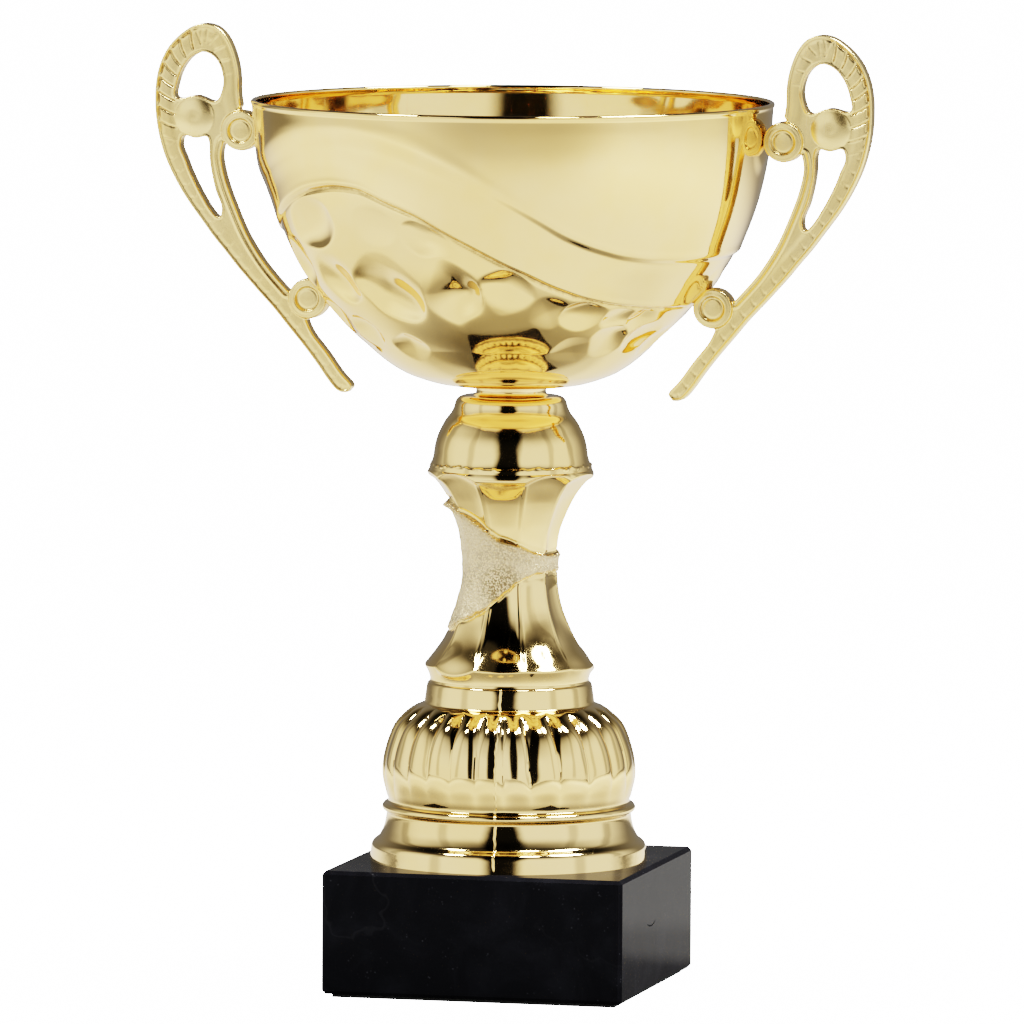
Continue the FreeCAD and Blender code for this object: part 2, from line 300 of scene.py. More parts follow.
def gold(name, light, deep, rough_lo, rough_hi, peel=0.03, sash=False, satin=0.0, groove_shade=False):
    """Vacuum-metallised gold: lacquer tone drift, orange peel, faint wiping marks."""
    m, t, p, pos = new_material(name)
    drift = t.noise(38.0, 3.0, 0.55, pos)
    patch = t.noise(210.0, 4.0, 0.6, pos)
    tone = t.remap(drift, 0.35, 0.65, 0.0, 1.0, True)
    col = t.mix(tone, (*light, 1), (*deep, 1))
    # fine dust and pin-holes in the coating
    vor = t.node("ShaderNodeTexVoronoi", feature="F1")
    vor.inputs["Scale"].default_value = 620.0
    t.put(vor.inputs["Vector"], pos)
    speck = t.remap(vor.outputs["Distance"], 0.035, 0.09, 1.0, 0.0, True)
    gate = t.remap(t.noise(95.0, 2.0, 0.5, pos), 0.60, 0.66, 0.0, 1.0, True)
    speck = t.math("MULTIPLY", speck, gate)
    col = t.mix(t.math("MULTIPLY", speck, 0.35), col, (deep[0] * 0.7, deep[1] * 0.62, deep[2] * 0.5, 1))
    # hairline wiping marks, stretched along a slanted direction
    mp = t.node("ShaderNodeMapping")
    mp.inputs["Rotation"].default_value = (0.3, 0.5, 0.8)
    mp.inputs["Scale"].default_value = (1500.0, 60.0, 60.0)
    t.put(mp.inputs["Vector"], pos)
    hair = t.remap(t.noise(1.0, 2.0, 0.5, mp.outputs[0]), 0.62, 0.74, 0.0, 1.0, True)
    rough = t.remap(patch, 0.3, 0.7, rough_lo, rough_hi)
    rough = t.math("ADD", rough, t.math("MULTIPLY", hair, 0.05))
    rough = t.math("ADD", rough, t.math("MULTIPLY", speck, 0.2))
    peel_h = t.noise(420.0, 2.0, 0.4, pos)
    nrm = t.bump(peel_h, peel, 0.0002)
    if satin:
        grain = t.noise(2600.0, 2.0, 0.5, pos)
        nrm = t.bump(grain, satin, 0.0002, nrm)
    if sash:
        at = t.node("ShaderNodeAttribute", attribute_name="sash").outputs["Fac"]
        g1 = t.noise(1500.0, 3.0, 0.65, pos)
        g2 = t.node("ShaderNodeTexVoronoi", feature="F1")
        g2.inputs["Scale"].default_value = 1500.0
        t.put(g2.inputs["Vector"], pos)
        gr = t.math("ADD", g1, t.math("MULTIPLY", g2.outputs["Distance"], 0.8))
        nrm = t.bump(gr, t.math("MULTIPLY", at, 0.85), 0.0006, nrm)
        # painted shade: the pits in the ribbon's grain are darkened, most round one spot on the front and less in
        # patches elsewhere
        far = t.node("ShaderNodeVectorMath", operation="DISTANCE")
        t.put(far.inputs[0], pos)
        far.inputs[1].default_value = (0.0005, -0.0132, 0.1095)
        front_pit_shade = t.remap(far.outputs["Value"], 0.002, 0.0100, 1.0, 0.0, True)
        patchy = t.remap(t.noise(120.0, 2.0, 0.5, pos), 0.45, 0.62, 0.18, 0.5, True)
        pit_shade_amount = t.math("MAXIMUM", front_pit_shade, patchy)
        g3 = t.node("ShaderNodeTexVoronoi", feature="F1")
        g3.inputs["Scale"].default_value = 1900.0
        t.put(g3.inputs["Vector"], pos)
        pit = t.remap(t.math("ADD", g3.outputs["Distance"], t.math("MULTIPLY", t.noise(900.0, 2.0, 0.6, pos), 0.5)), 0.60, 0.86, 0.0, 1.0, True)
        # the ribbon's pale gold, with its pits painted dark as shade
        sash_colour_with_pit_shade = t.mix(t.math("MULTIPLY", t.math("MULTIPLY", pit, pit_shade_amount), 0.85), (0.97, 0.80, 0.50, 1), (0.13, 0.08, 0.022, 1))
        col = t.mix(t.math("MULTIPLY", at, 0.9), col, sash_colour_with_pit_shade)
        rough = t.mixf(at, rough, t.remap(g1, 0.3, 0.7, 0.30, 0.5))
    if groove_shade:
        # painted shade: the marked grooves are darkened brown, unevenly
        at = t.node("ShaderNodeAttribute", attribute_name="groove").outputs["Fac"]
        uneven = t.remap(t.noise(520.0, 3.0, 0.6, pos), 0.3, 0.6, 0.45, 1.0, True)
        at = t.math("MULTIPLY", at, uneven)
        col = t.mix(t.math("MULTIPLY", at, 0.9), col, (0.20, 0.105, 0.028, 1))
        rough = t.math("ADD", rough, t.math("MULTIPLY", at, 0.1))
    t.put(p.inputs["Base Color"], col)
    p.inputs["Metallic"].default_value = 1.0
    t.put(p.inputs["Roughness"], rough)
    t.put(p.inputs["Normal"], nrm)
    return m


mat_sheet = gold("gold_sheet", (1.0, 0.69, 0.275), (1.0, 0.66, 0.23), 0.045, 0.075, 0.025, groove_shade=True)
mat_mould = gold("gold_plastic", (1.0, 0.705, 0.30), (1.0, 0.675, 0.255), 0.04, 0.085, 0.05)
mat_column = gold("gold_plastic_sash", (1.0, 0.705, 0.30), (1.0, 0.675, 0.255), 0.04, 0.085, 0.05, sash=True)
mat_satin = gold("satin_gold_plastic", (1.0, 0.735, 0.315), (1.0, 0.70, 0.265), 0.19, 0.27, 0.03, satin=0.03, groove_shade=True)


def stone():
    m, t, p, pos = new_material("polished_stone")
    base = t.noise(55.0, 6.0, 0.6, pos, 0.6)
    col = t.mix(t.remap(base, 0.42, 0.72, 0.0, 1.0, True), (0.0046, 0.0046, 0.0060, 1), (0.0088, 0.0090, 0.0116, 1))
    v = t.node("ShaderNodeTexVoronoi", feature="F1")
    v.inputs["Scale"].default_value = 900.0
    t.put(v.inputs["Vector"], pos)
    gate = t.remap(t.noise(260.0, 3.0, 0.6, pos), 0.57, 0.66, 0.0, 1.0, True)
    fleck = t.math("MULTIPLY", t.remap(v.outputs["Distance"], 0.12, 0.28, 1.0, 0.0, True), gate)
    col = t.mix(t.math("MULTIPLY", fleck, 0.3), col, (0.075, 0.078, 0.092, 1))
    # a few thin mineral veins
    w = t.node("ShaderNodeTexWave", wave_type="BANDS", bands_direction="DIAGONAL")
    w.inputs["Scale"].default_value = 9.0
    w.inputs["Distortion"].default_value = 14.0
    w.inputs["Detail"].default_value = 4.0
    w.inputs["Detail Scale"].default_value = 2.2
    t.put(w.inputs["Vector"], pos)
    vein = t.remap(w.outputs["Fac"], 0.996, 1.0, 0.0, 1.0, True)
    vein = t.math("MULTIPLY", vein, t.remap(t.noise(40.0, 2.0, 0.5, pos), 0.52, 0.66, 0.0, 1.0, True))
    col = t.mix(t.math("MULTIPLY", vein, 0.045), col, (0.10, 0.10, 0.11, 1))
    # short shallow scuff, bowed downwards, in the middle of the right-hand face
    sep = t.node("ShaderNodeSeparateXYZ")
    t.put(sep.inputs[0], pos)
    x, y, z = sep.outputs
    dy = t.math("DIVIDE", t.math("ADD", y, 0.0069), 0.0052)
    bow = t.math("SUBTRACT", t.math("SUBTRACT", z, 0.0184), t.math("MULTIPLY", t.math("MULTIPLY", dy, dy), 0.0010))
    arc = t.remap(t.math("ABSOLUTE", bow), 0.00012, 0.00030, 1.0, 0.0, True)
    arc = t.math("MULTIPLY", arc, t.remap(t.math("ABSOLUTE", dy), 0.75, 1.0, 1.0, 0.0, True))
    arc = t.math("MULTIPLY", arc, t.remap(x, 0.0410, 0.0413, 0.0, 1.0))
    rough = t.remap(t.noise(120.0, 4.0, 0.6, pos), 0.3, 0.7, 0.07, 0.13)
    rough = t.math("ADD", rough, t.math("MULTIPLY", fleck, 0.12))
    rough = t.math("ADD", rough, t.math("MULTIPLY", arc, 0.45))
    h = t.math("SUBTRACT", t.noise(300.0, 3.0, 0.5, pos), t.math("MULTIPLY", fleck, 0.35))
    t.put(p.inputs["Base Color"], col)
    t.put(p.inputs["Roughness"], rough)
    p.inputs["IOR"].default_value = 1.055
    p.inputs["Specular Tint"].default_value = (0.88, 0.91, 1.0, 1)
    t.put(p.inputs["Normal"], t.bump(h, 0.04, 0.0003))
    return m


def felt():
    m, t, p, pos = new_material("felt_pad")
    a = t.noise(900.0, 5.0, 0.7, pos, 1.5)
    b = t.noise(90.0, 3.0, 0.5, pos)
    col = t.mix(t.remap(a, 0.3, 0.7, 0.0, 1.0), (0.006, 0.006, 0.007, 1), (0.030, 0.030, 0.032, 1))
    col = t.mix(t.remap(b, 0.4, 0.7, 0.0, 0.5), col, (0.045, 0.043, 0.040, 1))
    t.put(p.inputs["Base Color"], col)
    t.put(p.inputs["Roughness"], t.remap(a, 0.2, 0.8, 0.85, 1.0))
    p.inputs["Sheen Weight"].default_value = 0.4
    p.inputs["Sheen Roughness"].default_value = 0.5
    t.put(p.inputs["Normal"], t.bump(a, 0.7, 0.0006))
    return m


def zinc():
    m, t, p, pos = new_material("zinc_steel")
    v = t.node("ShaderNodeTexVoronoi", feature="F1")
    v.inputs["Scale"].default_value = 700.0
    t.put(v.inputs["Vector"], pos)
    a = t.noise(400.0, 4.0, 0.6, pos)
    col = t.mix(t.remap(a, 0.3, 0.7, 0.0, 1.0), (0.62, 0.61, 0.58, 1), (0.45, 0.45, 0.44, 1))
    col = t.mix(t.remap(v.outputs["Distance"], 0.0, 0.6, 0.25, 0.0), col, (0.70, 0.66, 0.52, 1))
    mp = t.node("ShaderNodeMapping")
    mp.inputs["Scale"].default_value = (220.0, 220.0, 2600.0)
    t.put(mp.inputs["Vector"], pos)
    turn = t.noise(1.0, 3.0, 0.5, mp.outputs[0])
    t.put(p.inputs["Base Color"], col)
    p.inputs["Metallic"].default_value = 1.0
    t.put(p.inputs["Roughness"], t.remap(a, 0.3, 0.7, 0.22, 0.42))
    t.put(p.inputs["Normal"], t.bump(turn, 0.12, 0.0002))
    return m


mat_stone, mat_felt, mat_zinc = stone(), felt(), zinc()


# ===================================================================== bowl
bowl_line = [(15.5, 162.9), (18.0, 163.1), (23.5, 164.2), (28.5, 165.7), (33.8, 168.2), (38.6, 171.6),
             (43.4, 175.6), (48.2, 180.6), (52.6, 185.8), (56.1, 190.4), (59.0, 195.0), (61.4, 200.0),
             (63.6, 205.2), (65.5, 210.2), (67.0, 215.2), (68.2, 220.2), (69.1, 225.2), (69.75, 230.2),
             (70.1, 235.0), (70.25, 238.3)]
cad_bowl = [(15.5, 162.9), (18.6, 163.35), (22.9, 164.55), (27.7, 166.2), (33.1, 169.4),
            (37.9, 174.0), (42.0, 178.0), (47.0, 182.5), (51.2, 186.4), (54.9, 190.3),
            (58.3, 195.0), (61.2, 200.0), (63.6, 205.2), (65.7, 210.6), (67.4, 216.5),
            (69.0, 223.0), (69.8, 230.0), (70.2, 236.0), (70.3, 238.4)]

# heights against angle, both measured from the camera's side (phi)
upper_swoosh = [(-90, 218.4), (-80, 222.7), (-61, 229.6), (-50.7, 232.3), (-40, 233.2), (-30.4, 231.5),
                (-21.8, 228.1), (-13.8, 223.9), (-6.1, 219.1), (1.9, 213.9), (7.8, 210.0), (11.8, 207.1),
                (19.2, 203.8), (27.7, 201.2), (36.8, 199.8), (49.1, 199.2), (70, 199.1), (90, 199.3),
                (112, 200.3), (135, 202.3), (158, 204.3), (180, 206.5), (203, 209), (225, 212), (248, 215.3)]
lower_swoosh = [(-90, 204), (-67, 213.8), (-55.9, 217.8), (-46.5, 219.5), (-37.9, 219.0), (-31.7, 215.8),
                (-23.2, 212.1), (-16.3, 207.4), (-6.6, 201.7), (-1.3, 198.6), (2.2, 197.1), (10.3, 192.9),
                (19.5, 189.6), (28.3, 187.7), (33.5, 187.0), (45.9, 185.9), (59.6, 185.2), (90, 184.5),
                (112, 184.8), (135, 186.6), (158, 189.0), (180, 191.6), (203, 194.4), (225, 197.4), (248, 200.8)]

dimples = [(-58.7, 207.9, 18.5, 10.8, 0.25), (-35.7, 208.0, 12, 8.8, -0.2), (-21.6, 204.9, 12.5, 8.8, -0.4),
           (-55.9, 192.6, 12.9, 14.4, 0.2), (-36.7, 190.7, 16.5, 21, 0.5), (-17.6, 190.1, 15.5, 20, 0.1),
           (-1.7, 191.0, 13.0, 12.5, -0.3), (11.5, 184.6, 9.6, 9.0, 0.4), (22.9, 183.9, 10.6, 8.6, 0),
           (36, 182.9, 7.2, 6.0, 0), (47.3, 181.6, 10.4, 7.8, 0), (37.6, 176.0, 9.2, 10.4, 0),
           (54.9, 176.7, 10.7, 9.1, 0), (-41.8, 173.5, 8.4, 9.6, 0), (-17.4, 174.7, 5.0, 4.5, 0),
           (24.5, 174.0, 11.4, 8.6, 0.5),
           (-62.0, 177.5, 10.5, 10, 0.2), (-75.5, 196.5, 13.5, 13.5, 0.1), (-76, 181.5, 11.5, 11.5, 0.2)]
# the same three rows carry on round the back
for row_z, first, count, wide, tall in ((191.0, -118, 12, 14.5, 15.5), (176.0, -100, 14, 9.6, 9.6), (205.0, -98, 9, 13.5, 9.0)):
    for q in range(count):
        ph = first - q * (15.8 if row_z == 176.0 else (17.4 if row_z == 191.0 else 18.5))
        dimples.append((ph + rng.uniform(-1.6, 1.6), row_z + rng.uniform(-1.6, 1.6),
                        wide * rng.uniform(0.85, 1.12), tall * rng.uniform(0.85, 1.15), rng.uniform(-0.4, 0.4)))

UPPER_SEAT = (69.847, 230.609)
LOWER_SEAT = (52.993, 188.19)

bowl_s0 = blur(spline(bowl_line, 0.1), 3.0, 0.1)
cad_s = blur(spline(cad_bowl, 0.1), 0.6, 0.1)


def bowl():
    psi = columns(680)
    phi = np.degrees(psi) - CAM_AZ
    total = arc_length(bowl_s0)[-1]
    n_out = 236
    s = np.linspace(0, total, n_out)
    P = resample(bowl_s0, s)
    N = profile_normals(P)
    for _ in range(2):
        N[1:-1] = (N[:-2] + 2 * N[1:-1] + N[2:]) / 4
        N /= np.hypot(N[:, 0], N[:, 1])[:, None]
    zz = bowl_s0[:, 1]
    ss = arc_length(bowl_s0)
    sU = np.interp(ring_curve(upper_swoosh, phi, 2.2), zz, ss)[None, :]
    sL = np.interp(ring_curve(lower_swoosh, phi, 2.0), zz, ss)[None, :]
    S = s[:, None]
    # slope of each line against the profile, so a step keeps its width where the line runs steeply
    r_here = P[:, 0][:, None]
    dpsi = np.gradient(psi)
    gU = np.gradient(sU[0]) / dpsi
    gL = np.gradient(sL[0]) / dpsi
    rU = np.interp(sU[0], ss, bowl_s0[:, 0])
    rL = np.interp(sL[0], ss, bowl_s0[:, 0])
    dU = (S - sU) / np.sqrt(1 + (gU / rU) ** 2)[None, :]
    dL = (S - sL) / np.sqrt(1 + (gL / rL) ** 2)[None, :]
    fade = np.interp(P[:, 0], [15.5, 20, 28.5, 33.8, 40], [0, 0, 0.28, 0.62, 1.0])[:, None]
    soft = ring_curve([(-90, 0.75), (-60, 0.6), (-35, 0.6), (-12, 0.8), (5, 0.9), (30, 0.8), (60, 0.9), (120, 0.9), (200, 0.8)], phi, 8)[None, :]
    wid = ring_curve([(-90, 3.2), (-45, 3.4), (-20, 2.4), (0, 1.3), (25, 1.2), (60, 1.2), (120, 1.2), (200, 2.2)], phi, 8)[None, :]
    D = -1.0 * soft * (1 - smooth(dU / wid, -1, 1)) - 1.0 * (1 - soft) * smooth(-dU, 3, 14)
    D += 0.12 * soft * gauss((dU - 1.3 * wid) / wid, 1.0)  # soft shoulder above the first line
    lip = ring_curve([(-90, 0.15), (-63, 0.3), (-51, 1.5), (-42, 1.5), (-35, 0.8), (-15, 0.9), (0, 1.6), (28, 1.6), (60, 1.0), (120, 0.8), (200, 0.8), (235, 0.4)], phi, 4)[None, :]
    fall = ring_curve([(-90, 0.5), (-63, 0.62), (-49, 0.95), (-36, 1.0), (200, 1.0), (235, 0.7)], phi, 5)[None, :]
    D += -1.15 * fall * (1 - smooth(dL, -0.8, 0.8))
    D += lip * (0.10 * gauss(dL - 1.1, 0.9) - 0.46 * gauss(dL + 0.75, 0.56))
    # gentle hollow of the ribbon between the two lines
    mid = np.clip((S - sL) / np.maximum(sU - sL, 4.0), 0, 1)
    D += -0.35 * np.sin(math.pi * mid) ** 2 * (mid > 0) * (mid < 1)
    D *= fade
    # hammered hollows
    X = r_here * psi[None, :]
    hollow = np.zeros_like(D)
    warp = 0.13 * noise(r_here * np.sin(psi)[None, :], r_here * np.cos(psi)[None, :], P[:, 1][:, None] + 0 * psi[None, :], 8.0)
    for n_d, (ph, z0, w, h, tilt) in enumerate(dimples):
        s0 = float(np.interp(z0, zz, ss))
        r0 = float(np.interp(s0, ss, bowl_s0[:, 0]))
        dx = ((phi[None, :] - ph + 180) % 360 - 180) * math.pi / 180 * (0.5 * r0 + 0.5 * r_here)
        dy = S - s0
        c, sn = math.cos(tilt), math.sin(tilt)
        u, v = c * dx + sn * dy, -sn * dx + c * dy
        e = (2.4, 1.9, 1.8, 2.0, 2.1, 1.45, 1.5, 1.6, 1.8)[n_d] if n_d < 9 else 1.5 + 0.8 * ((n_d * 7) % 5) / 4
        q2 = np.abs(2 * u / (w + 3.8) + warp) ** e + np.abs(2 * v / (h + 3.4) - warp) ** e
        k = 1 - q2
        f = 0.5 * (k + np.sqrt(k * k + 0.010))
        depth = (0.120 * min(w, h) + 0.45) * (1.18 if n_d in (3, 4, 5) else (0.45 if n_d in (1, 7, 15) else (0.0 if n_d == 14 else 1.0)))
        ax, ay = ((0.3, -0.2), (0.2, 0.3), (-0.3, 0.2), (-0.5, -0.4), (-0.6, -0.5), (0.7, -0.5), (0.1, 0.6), (0.4, 0.2), (-0.4, 0.3))[n_d] if n_d < 9 else (0.5 * math.sin(2.4 * n_d), 0.5 * math.cos(2.4 * n_d))
        f = f * np.clip(1 + ax * 2 * u / w + ay * 2 * v / h, 0.35, 1.65)
        f = np.where(k < -1.2, 0, f)
        hollow = np.maximum(hollow, depth * f)
    hollow = np.maximum(hollow - 0.02, 0) * np.interp(P[:, 0], [25, 35, 46], [0.0, 0.4, 1.0])[:, None]
    under = 1 - smooth(dL, -2.4, -0.7)
    seat = np.zeros_like(D)
    for sx in (1, -1):
        for (sr, sz) in (UPPER_SEAT, LOWER_SEAT):
            s0 = float(np.interp(sz, zz, ss))
            dxs = ((np.degrees(psi)[None, :] - sx * 90 + 180) % 360 - 180) * math.pi / 180 * r_here
            seat = np.maximum(seat, 1 - smooth(np.hypot(dxs, S - s0), 5.5, 10.5))
    D -= hollow * under * (1 - seat)
    # broad sheet-metal wobble
    ang = np.broadcast_to(psi[None, :], D.shape)
    zzg = np.broadcast_to(P[:, 1][:, None], D.shape)
    D += 0.05 * fade * noise(40 * np.sin(ang), 40 * np.cos(ang), zzg * 0.7, 17.0)
    # at the lugs the wall meets the screws' seats
    sc = arc_length(cad_s)
    rc = np.interp(P[:, 1], cad_s[:, 1], cad_s[:, 0])
    Dc = ((rc - P[:, 0]) * N[:, 0])[:, None]
    D = D * (1 - seat) + Dc * seat
    lim = smooth(total - S, 0.0, 4.0)
    D = D * lim
    R_out = P[:, 0][:, None] + N[:, 0][:, None] * D
    Z_out = P[:, 1][:, None] + N[:, 1][:, None] * D
    # rolled rim
    ends = P[-1]
    c = np.array([ends[0] - 0.4, 239.84 - 0.75])
    th = np.linspace(-0.55, math.pi + 0.55, 16)
    rim = np.stack([c[0] + 0.75 * np.cos(th), c[1] + 0.75 * np.sin(th)], 1)
    # inside surface, the same relief with the wall's thickness taken off
    keep = np.arange(n_out - 1, -1, -1)
    keep = keep[(keep % 2 == 1) | (keep < 2)]
    W = 0.8
    Di = D * 0.92 - W + 0.07 * fade * lim * noise(60 * np.sin(ang), 60 * np.cos(ang), zzg, 9.0)
    R_in = (P[:, 0][:, None] + N[:, 0][:, None] * Di)[keep]
    Z_in = (P[:, 1][:, None] + N[:, 1][:, None] * Di)[keep]
    Z_in = np.maximum(Z_in, 163.7)
    Z_in = np.minimum(Z_in, 238.3)
    cols = len(psi)
    flat_o = np.array([(3.3, 162.9), (6, 162.9), (9.6, 162.9), (12.8, 162.9)])
    flat_i = np.array([(12.5, 163.7), (9, 163.7), (6, 163.7), (3.3, 163.7)])
    rowsR = [np.repeat(flat_o[:, :1], cols, 1), R_out, np.repeat(rim[:, :1], cols, 1), R_in, np.repeat(flat_i[:, :1], cols, 1)]
    rowsZ = [np.repeat(flat_o[:, 1:], cols, 1), Z_out, np.repeat(rim[:, 1:], cols, 1), Z_in, np.repeat(flat_i[:, 1:], cols, 1)]
    R = np.vstack(rowsR)
    Z = np.vstack(rowsZ)
    V, F = lathe_grid(R, Z, psi)
    # painted shade: the crease under the lower line is marked for darkening through the groove attribute
    seam = np.zeros(R.shape)
    seam[4:4 + n_out] = np.clip(lip * 0.62, 0, 0.95) * gauss(dL + 0.72, 0.68) * fade * (1 - seat)
    return mesh_object("cup_bowl", V, F, [mat_sheet], attrs={"groove": seam.ravel()}, sharp=None)


# ===================================================================== foot
def foot():
    seg = [[(37.55, 34.34), (37.15, 38.25)],
           [(37.15, 38.25), (36.95, 38.8), (36.4, 39.5), (35.35, 40.3), (34.55, 41.5), (33.95, 42.8),
            (33.5, 44.4), (33.2, 46.0), (33.05, 47.3)],
           [(33.05, 47.3), (33.6, 47.65), (34.1, 48.1), (34.28, 48.7), (34.1, 49.3), (33.55, 49.8), (32.75, 50.1)],
           [(32.75, 50.1), (32.62, 50.6), (32.9, 51.5), (33.5, 53.5), (34.05, 55.7), (34.3, 58.6), (34.1, 61.2),
            (33.5, 64.2), (32.7, 66.8), (31.4, 69.7), (29.7, 72.2), (27.6, 74.3), (25.4, 75.9), (23.1, 76.85)],
           [(23.1, 76.85), (22.98, 77.3)],
           [(22.98, 77.3), (22.72, 79.3)],
           [(22.72, 79.3), (22.56, 80.4), (22.4, 81.4), (22.2, 82.3)],
           [(22.2, 82.3), (21.7, 82.7)]]
    line = blur(joined(seg, 0.1), 0.17, 0.1)
    total = arc_length(line)[-1]
    s = np.linspace(0, total, 228)
    P = resample(line, s)
    N = profile_normals(P)
    part = math.radians(7.7)
    psi = columns(500, [(part, math.radians(1.3), 17)])
    z = P[:, 1][:, None]
    phi = np.degrees(psi) - CAM_AZ
    # lobes, uneven as in a soft moulding
    n = 26
    edges = np.array([-54.0, -40.7, -28.2, -15.6, -3.0, 9.4, 24.2, 39.4, 55.2])
    rest = np.linspace(55.2, 306.0, n - len(edges) + 2)[1:-1] + rng.uniform(-1.2, 1.2, n - len(edges))
    edges = np.sort(np.concatenate([edges, rest]) % 360)
    lean = 0.06 * (z - 64.0)                               # the hollows lean slightly
    drift = 0.9 * noise(34 * np.sin(psi)[None, :] + 0 * z, 34 * np.cos(psi)[None, :] + 0 * z, z + 0 * psi[None, :], 13.0)
    ph = (phi[None, :] + lean + drift + 360) % 360
    ext = np.concatenate([edges[-1:] - 360, edges, edges[:1] + 360])
    k = np.clip(np.searchsorted(ext, ph, side="right") - 1, 0, len(ext) - 2)
    t = (ph - ext[k]) / (ext[k + 1] - ext[k])
    amp = rng.uniform(0.8, 1.2, len(ext))
    amp[-1] = amp[1]
    amp[0] = amp[-2]
    drop = rng.uniform(-2.2, 2.2, len(ext))
    drop[-1], drop[0] = drop[1], drop[-2]
    a_here = (1 - t) * amp[k] + t * amp[np.minimum(k + 1, len(ext) - 1)]
    low = (1 - t) * drop[k] + t * drop[np.minimum(k + 1, len(ext) - 1)]
    env = smooth(z - 0.6 * low, 50.8, 61.5) * (1 - smooth(z, 74.6, 76.7))
    v = np.abs(2 * t - 1)
    lobe = -(0.56 * v ** 2 + 0.20 * v ** 4) * a_here
    turn = rng.uniform(-1.0, 1.0, len(ext))
    turn[-1], turn[0] = turn[1], turn[-2]
    lobe = lobe + 0.6 * turn[k] * (t - 0.5) * (1 - v ** 2)
    D = lobe * env
    D += 0.30 * env * (1 - v ** 2) * gauss(z - 71.5, 3.0)  # knuckle at the top of each lobe
    D += 0.10 * noise(34 * np.sin(psi)[None, :] + 0 * z, 34 * np.cos(psi)[None, :] + 0 * z, z + 0 * psi[None, :], 5.0) * env
    # parting line of the mould, standing slightly proud
    dp = ((np.degrees(psi)[None, :] - 7.7 + 180) % 360 - 180) * math.pi / 180 * P[:, 0][:, None]
    wav = 0.10 * np.sin(z * 1.1) + 0.06 * np.sin(z * 2.7)
    D += 0.16 * gauss(dp - wav, 0.17) * smooth(z, 35.2, 36.5)
    R = P[:, 0][:, None] + N[:, 0][:, None] * D
    Z = P[:, 1][:, None] + N[:, 1][:, None] * D
    inner = np.array([(3.3, 82.7), (3.3, 80.7), (20.6, 80.7), (20.9, 75.6), (26.5, 72.4), (29.8, 67.8), (31.5, 63.0),
                      (32.1, 57.0), (31.0, 51.5), (31.0, 47.0), (32.3, 42.0), (35.3, 38.3), (35.3, 34.34)])
    Z = np.clip(Z, 34.34, 82.7)
    R = np.vstack([R, np.repeat(inner[:, :1], len(psi), 1)])
    Z = np.vstack([Z, np.repeat(inner[:, 1:], len(psi), 1)])
    V, F = lathe_grid(R, Z, psi)
    return mesh_object("plinth_foot", V, F, [mat_mould], sharp=38)


# =================================================================== column
sash_top = [(-87, 131.9), (-63, 129.4), (-43, 126.7), (-28, 124.5), (-15.6, 121.9), (0, 121.0), (11.5, 120.2),
            (29.8, 118.3), (52.5, 117.4), (74.6, 117.5), (110, 118.6), (150, 121.2), (190, 124.8), (230, 128.6)]
sash_low = [(-89, 96.4), (-58, 100.2), (-26.5, 103.9), (-12.7, 107.0), (5.8, 110.5), (16.7, 111.8),
            (35.4, 113.2), (69, 113.4), (110, 112.2), (150, 108.6), (190, 104.2), (230, 99.8)]
RIB0, PANELS = -25.5, 10


